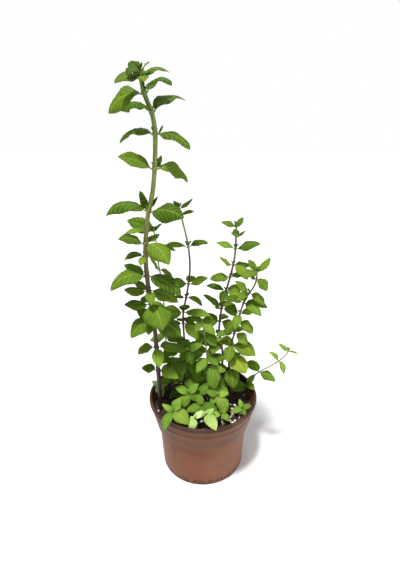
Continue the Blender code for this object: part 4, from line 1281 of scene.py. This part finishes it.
@dataclass(frozen=True)
class RootBall:
    """The potting mix: a filled pot of soil with a lumpy top, crumbs of bark and perlite."""

    pot: NurseryPot
    top: float = SOIL_TOP
    sides: int = 144
    gap: float = 0.3
    crumbs: int = 300
    perlite: int = 110

    def height(self, x: float, y: float) -> float:
        """The height of the lumpy top."""
        waves = sin(x * 0.19 + 1.0) * cos(y * 0.16) + 0.6 * sin(x * 0.41 - y * 0.37)
        lumps = noise.fractal(Vector((x, y, 3.0)) * 0.11, 0.9, 2.1, 5)
        fine = noise.noise(Vector((x, y, 9.0)) * 0.55)
        bank = max(0.0, hypot(x, y) / 63 - 0.72) * 7
        return self.top + waves * 0.7 + lumps * 1.9 + fine * 0.7 - 0.4 + bank * 0.4

    def build(self) -> None:
        """Casts the soil and hands it in."""
        pot, gap = self.pot, self.gap
        low = pot.floor + gap
        wall = [(1.0, low), (40.0, low), (pot.inside(pot.floor) - 1.4, low),
                (pot.inside(30) - gap, 30), (pot.body_top - pot.wall - gap, pot.step - 1),
                (pot.inside(pot.step + 2) - gap - 0.3, pot.step + 2), (pot.inside(80) - gap, 80),
                (pot.inside(self.top) - gap, self.top - 2)]
        edge = pot.inside(self.top) - gap
        inward = [(edge - 0.4 - (edge - 1.4) * i / 44, None) for i in range(45)]
        rings = []
        for radius, z in wall + inward:
            ring = []
            for i in range(self.sides):
                a = tau * i / self.sides
                x, y = radius * cos(a), radius * sin(a)
                ring.append((x, y, self.height(x, y) if z is None else z))
            rings.append(ring)
        grid = np.array(rings)
        soil = Moulds.get(len(rings), self.sides, True).cast("visual_soil", grid, [PottingSoil().make()])
        hand_in(soil, "potting_soil", "soil")

    def scatter(self, name: str, count: int, sizes: tuple[float, float], skin: bpy.types.Material,
                pull: Callable[[float, float], float], detail: int, sink: float) -> None:
        """Strews grains over the soil, all as one piece.

        Args:
            name: the piece's name.
            count: how many grains.
            sizes: the least and the greatest radius.
            skin: their finish.
            pull: the chance that a grain stays at a place, from 0 to 1.
            detail: how finely a grain is faceted.
            sink: how far a grain's middle stands above the soil, as a share of its radius.
        """
        rng = Random(name)
        begin()
        bpy.ops.mesh.primitive_ico_sphere_add(subdivisions=detail, radius=1)
        mould = bpy.context.object
        rough = [v.co.copy() for v in mould.data.vertices]
        grains = []
        while len(grains) < count:
            radius = STREW_RADIUS * rng.random() ** 0.5
            a = tau * rng.random()
            x, y = radius * cos(a), radius * sin(a)
            if rng.random() > pull(x, y):
                continue
            size = sizes[0] + (sizes[1] - sizes[0]) * rng.random() ** 2
            x, y = x * (1 - size / 90), y * (1 - size / 90)
            seed = Vector((rng.random(), rng.random(), rng.random())) * 50
            turned = Matrix.Rotation(tau * rng.random(), 3, "Z") @ Matrix.Rotation(tau * rng.random(), 3, "X")
            squash = Vector((1, rng.uniform(0.6, 1.0), rng.uniform(0.5, 0.9)))
            middle = Vector((x, y, self.height(x, y) + size * sink))
            grain = mould.copy()
            grain.data = mould.data.copy()
            bpy.context.scene.collection.objects.link(grain)
            for vert, co in zip(grain.data.vertices, rough):
                lump = 1 + 0.45 * noise.noise(co * 1.4 + seed)
                vert.co = (turned @ (co * squash * lump) * size + middle) * MM
            grains.append(grain)
        bpy.data.objects.remove(mould, do_unlink=True)
        piece = joined(name, grains)
        piece.data.materials.clear()
        piece.data.materials.append(skin)
        piece.data.shade_smooth()
        hand_in(piece, "potting_soil")

    def dress(self) -> None:
        """Strews the bark crumbs and the perlite, and lays a stray root."""
        bark = Grit("bark crumb", (0.075, 0.040, 0.022), (0.018, 0.010, 0.007), 600.0).make()
        white = Grit("perlite grain", (0.86, 0.84, 0.78), (0.52, 0.48, 0.40), 500.0).make()
        self.scatter("visual_bark_crumbs", self.crumbs, (0.7, 2.6), bark, lambda x, y: 1.0, 1, 0.15)
        self.scatter("visual_perlite", self.perlite, (0.8, 2.7), white,
                     lambda x, y: 0.12 + 0.88 * min(1, max(0, (x + 20) / 60)), 2, 0.3)
        line = [(46, -30), (43, -35), (38.5, -38), (35, -42), (33.5, -46)]
        points = [(x, y, self.height(x, y) + 0.5 + 0.5 * (i % 2)) for i, (x, y) in enumerate(line)]
        rings = []
        for i, (x, y, z) in enumerate(points):
            ahead = Vector(points[min(i + 1, 4)]) - Vector(points[max(i - 1, 0)])
            side = Vector((-ahead.y, ahead.x, 0)).normalized()
            up = ahead.normalized().cross(side)
            radius = (0.3, 0.6, 0.55, 0.45, 0.2)[i]
            rings.append([Vector((x, y, z)) + (side * cos(tau * j / 6) + up * sin(tau * j / 6)) * radius
                          for j in range(6)])
        root = Moulds.get(5, 6, True).cast("visual_stray_root", np.array(rings), [white])
        hand_in(root, "potting_soil")


class MintPlant:
    """All the stems, leaf pairs, tips and shoots."""

    tall_make = BladeMake(teeth=12, tip_curve=0.8, fold=0.24, curl=0.46, pucker=0.012, breadth=1.18)
    side_make = BladeMake(teeth=9, tooth=0.085, tip_curve=0.78, breadth=1.14)
    young_make = BladeMake(teeth=7, tooth=0.11, base_curve=0.52, tip_curve=0.88, side_ribs=5.5, pucker=0.014,
                           breadth=1.1)
    tone_of = {"main": 0.42, "second": 0.35, "right": 0.3, "forked": 0.42}

    def __init__(self, wardrobe: Wardrobe) -> None:
        """Keeps the finishes and works out each tall stem's line and thickness."""
        self.wardrobe = wardrobe
        self.bottom = SOIL_TOP - ROOT_DEPTH
        self.route = {name: Route(points) for name, (_, _, _, points) in STEMS.items()}
        self.radius = {name: self.taper(foot, tip, top) for name, (foot, tip, top, _) in STEMS.items()}

    def taper(self, foot: float, tip: float, top: float) -> ByHeight:
        """A radius that narrows evenly from the buried end to the top."""
        return lambda z: (foot + (tip - foot) * (z - self.bottom) / (top - self.bottom)) / 2

    def stems(self) -> None:
        """Builds the four tall stems."""
        for name, (_, _, top, _) in STEMS.items():
            joints = tuple(height for height, _ in PAIRS[name.removesuffix("_stem")].values())
            run = StemRun(self.route[name], self.bottom, top, self.radius[name], joints,
                          Stalk(name.removesuffix("_stem")), swell=0.14)
            piece = joined("visual_" + name, [run.cast(name + "_run", self.wardrobe.stalk)])
            slot = "stem_purple_brown" if name in ("second_stem", "right_stem") else "stem_olive_brown"
            hand_in(piece, slot, name)

    def pairs(self) -> None:
        """Builds each joint of the tall stems with its leaves."""
        corner = 1 / cos(pi / STEM_SIDES)
        for kind, joints in PAIRS.items():
            route, radius, skin = self.route[kind + "_stem"], self.radius[kind + "_stem"], Stalk(kind)
            for number, (height, leaves) in joints.items():
                outer = radius(height) * corner + GAP + COLLAR_WALL
                joint = StemRun(route, height - JOINT_BELOW, height + JOINT_ABOVE,
                                lambda z, r=radius: r(z) * JOINT_WIDER, (height,), skin, step=0.6, swell=0.24)
                name = f"{kind}_leaves_{number}"
                rng = Random(name)
                buds = tuple((height + 1.0, leaf[0] + rng.uniform(-30, 30), rng.uniform(4.5, 7.5))
                             for leaf in leaves[:2] if height > BUDS_ABOVE)
                self.leafy(name, kind, joint, lambda z, r=outer: r, [(height, leaves)], 0.0, buds)

    def tips(self) -> None:
        """Builds the growing tips."""
        for kind, (top, whorls) in TIPS.items():
            _, thick, start, _ = STEMS[kind + "_stem"]
            flat = thick / 2
            joints = tuple(h for h, _ in whorls)
            run = StemRun(self.route[kind + "_stem"], start - 0.5, top, lambda z, r=flat, s=start, t=top:
                          r * (1 - 0.4 * (z - s) / (t - s)), joints, Stalk(kind), step=2.0)
            buds = tuple((top - 0.4, 45 + 90 * i, 5.5 + i % 2) for i in range(4))
            self.leafy(kind + "_tip", kind, run, lambda z, r=flat: r, whorls, -0.1, buds)

    def leafy(self, name: str, kind: str, run: StemRun, flat: ByHeight, whorls: Sequence, lighter: float,
              buds: tuple) -> None:
        """Builds one leafy node of a tall stem, in that stem's green and make of blade."""
        green, make = (Green.DARK, self.tall_make) if kind == "main" else (Green.MID, self.side_make)
        Foliage(name, run, flat, run.route, whorls, green, self.tone_of[kind] + lighter, make,
                buds).build(self.wardrobe)

    def shoots(self) -> None:
        """Builds the young shoots."""
        for name, (thick, top, points, whorls) in SHOOTS.items():
            route = Route(points)
            radius = self.taper(thick, thick * SHOOT_TAPER, top)
            skin = Stalk.TRAILING if name == "trailing_shoot" else Stalk.YOUNG
            run = StemRun(route, self.bottom, top, radius, tuple(h for h, _ in whorls), skin)
            green = Green.YOUNG
            if name in ("pale_shoot", "rim_shoot", "rim_shoot_left"):
                green = Green.PALE
            elif name == "back_shoot":
                green = Green.MID
            tone = SHOOT_TONES.get(name, 0.5)
            buds = tuple((top - 0.3, 30 + 90 * i, min(5.0, thick * 2.6)) for i in range(4))
            Foliage(name, run, radius, route, whorls, green, tone, self.young_make, buds).build(self.wardrobe)


AIM_HEIGHT = 0.2
AIR = (1.0, 0.995, 0.985, 1.0)


@dataclass(frozen=True)
class Studio:
    """The floor, the soft lights and the camera."""

    eye: Place = (-0.0039, -0.459, 0.462)
    tilt: float = 66.27
    lens: float = 27.03
    film: float = 36.0

    def floor(self) -> None:
        """Lays the pale floor, a broad disc just under the pot."""
        begin()
        bpy.ops.mesh.primitive_circle_add(vertices=96, radius=4.0, fill_type="NGON", location=(0, 0, -0.0002))
        floor = bpy.context.object
        floor.name = "studio_floor"
        bpy.ops.object.transform_apply(location=True)
        floor.data.materials.append(StudioFloor().make())

    def light(self, name: str, place: Place, power: float, colour: Colour = (1.0, 1.0, 1.0),
              size: float = 0.0, spread: float = 0.0) -> None:
        """Hangs one light that faces the plant.

        Args:
            name: its name.
            place: where it hangs, or the direction that a sun shines from.
            power: its power.
            colour: its colour.
            size: the side of a soft square light, or 0 for a sun.
            spread: the angle that a sun is spread over, in degrees.
        """
        lamp = bpy.data.lights.new(name, "AREA" if size else "SUN")
        if size:
            lamp.shape = "SQUARE"
            lamp.size = size
        else:
            lamp.angle = radians(spread)
        lamp.energy = power
        lamp.color = colour
        obj = bpy.data.objects.new(name, lamp)
        obj.location = place
        aim = Vector((0, 0, AIM_HEIGHT if size else 0)) - Vector(place)
        obj.rotation_euler = aim.to_track_quat("-Z", "Y").to_euler()
        bpy.context.scene.collection.objects.link(obj)

    def sky(self) -> None:
        """Gives the room its even white light."""
        world = bpy.data.worlds.new("studio air")
        world.use_nodes = True
        nodes, links = world.node_tree.nodes, world.node_tree.links
        air = nodes["Background"]
        air.inputs["Color"].default_value = AIR
        air.inputs["Strength"].default_value = 0.23
        seen = nodes.new("ShaderNodeBackground")
        seen.inputs["Color"].default_value = (1.0, 1.0, 1.0, 1.0)
        path = nodes.new("ShaderNodeLightPath")
        either = nodes.new("ShaderNodeMixShader")
        links.new(path.outputs["Is Camera Ray"], either.inputs[0])
        links.new(air.outputs[0], either.inputs[1])
        links.new(seen.outputs[0], either.inputs[2])
        links.new(either.outputs[0], nodes["World Output"].inputs["Surface"])
        bpy.context.scene.world = world
        bpy.context.scene.view_settings.view_transform = "Standard"

    def camera(self) -> None:
        """Stands the camera in front and a little above."""
        lens = bpy.data.cameras.new("camera")
        lens.lens = self.lens
        lens.sensor_width = self.film
        lens.clip_start = 0.01
        obj = bpy.data.objects.new("camera", lens)
        obj.location = self.eye
        obj.rotation_euler = (radians(self.tilt), 0, 0)
        bpy.context.scene.collection.objects.link(obj)
        bpy.context.scene.camera = obj

    def build(self) -> None:
        """Sets everything up."""
        self.floor()
        self.sky()
        self.light("window light", (-0.2, -0.35, 1.3), 4.4, AIR[:3], spread=8.0)
        self.light("front light", (-0.5, -1.1, 0.9), 4.0, (1.0, 0.98, 0.94), size=0.7)
        self.light("side light", (1.0, -0.35, 0.45), 6.0, size=0.5)
        self.light("top light", (0.0, 0.55, 1.2), 3.0, size=0.5)
        self.camera()


def main() -> None:
    """Builds the pot, the soil, the plant and the studio."""
    logging.basicConfig(level=logging.INFO, format="%(message)s")
    pot = NurseryPot()
    pot.build()
    soil = RootBall(pot)
    soil.build()
    soil.dress()
    wardrobe = Wardrobe()
    wardrobe.fill()
    plant = MintPlant(wardrobe)
    plant.stems()
    plant.pairs()
    plant.tips()
    plant.shoots()
    Moulds.put_away()
    Studio().build()


if __name__ == "__main__":
    main()
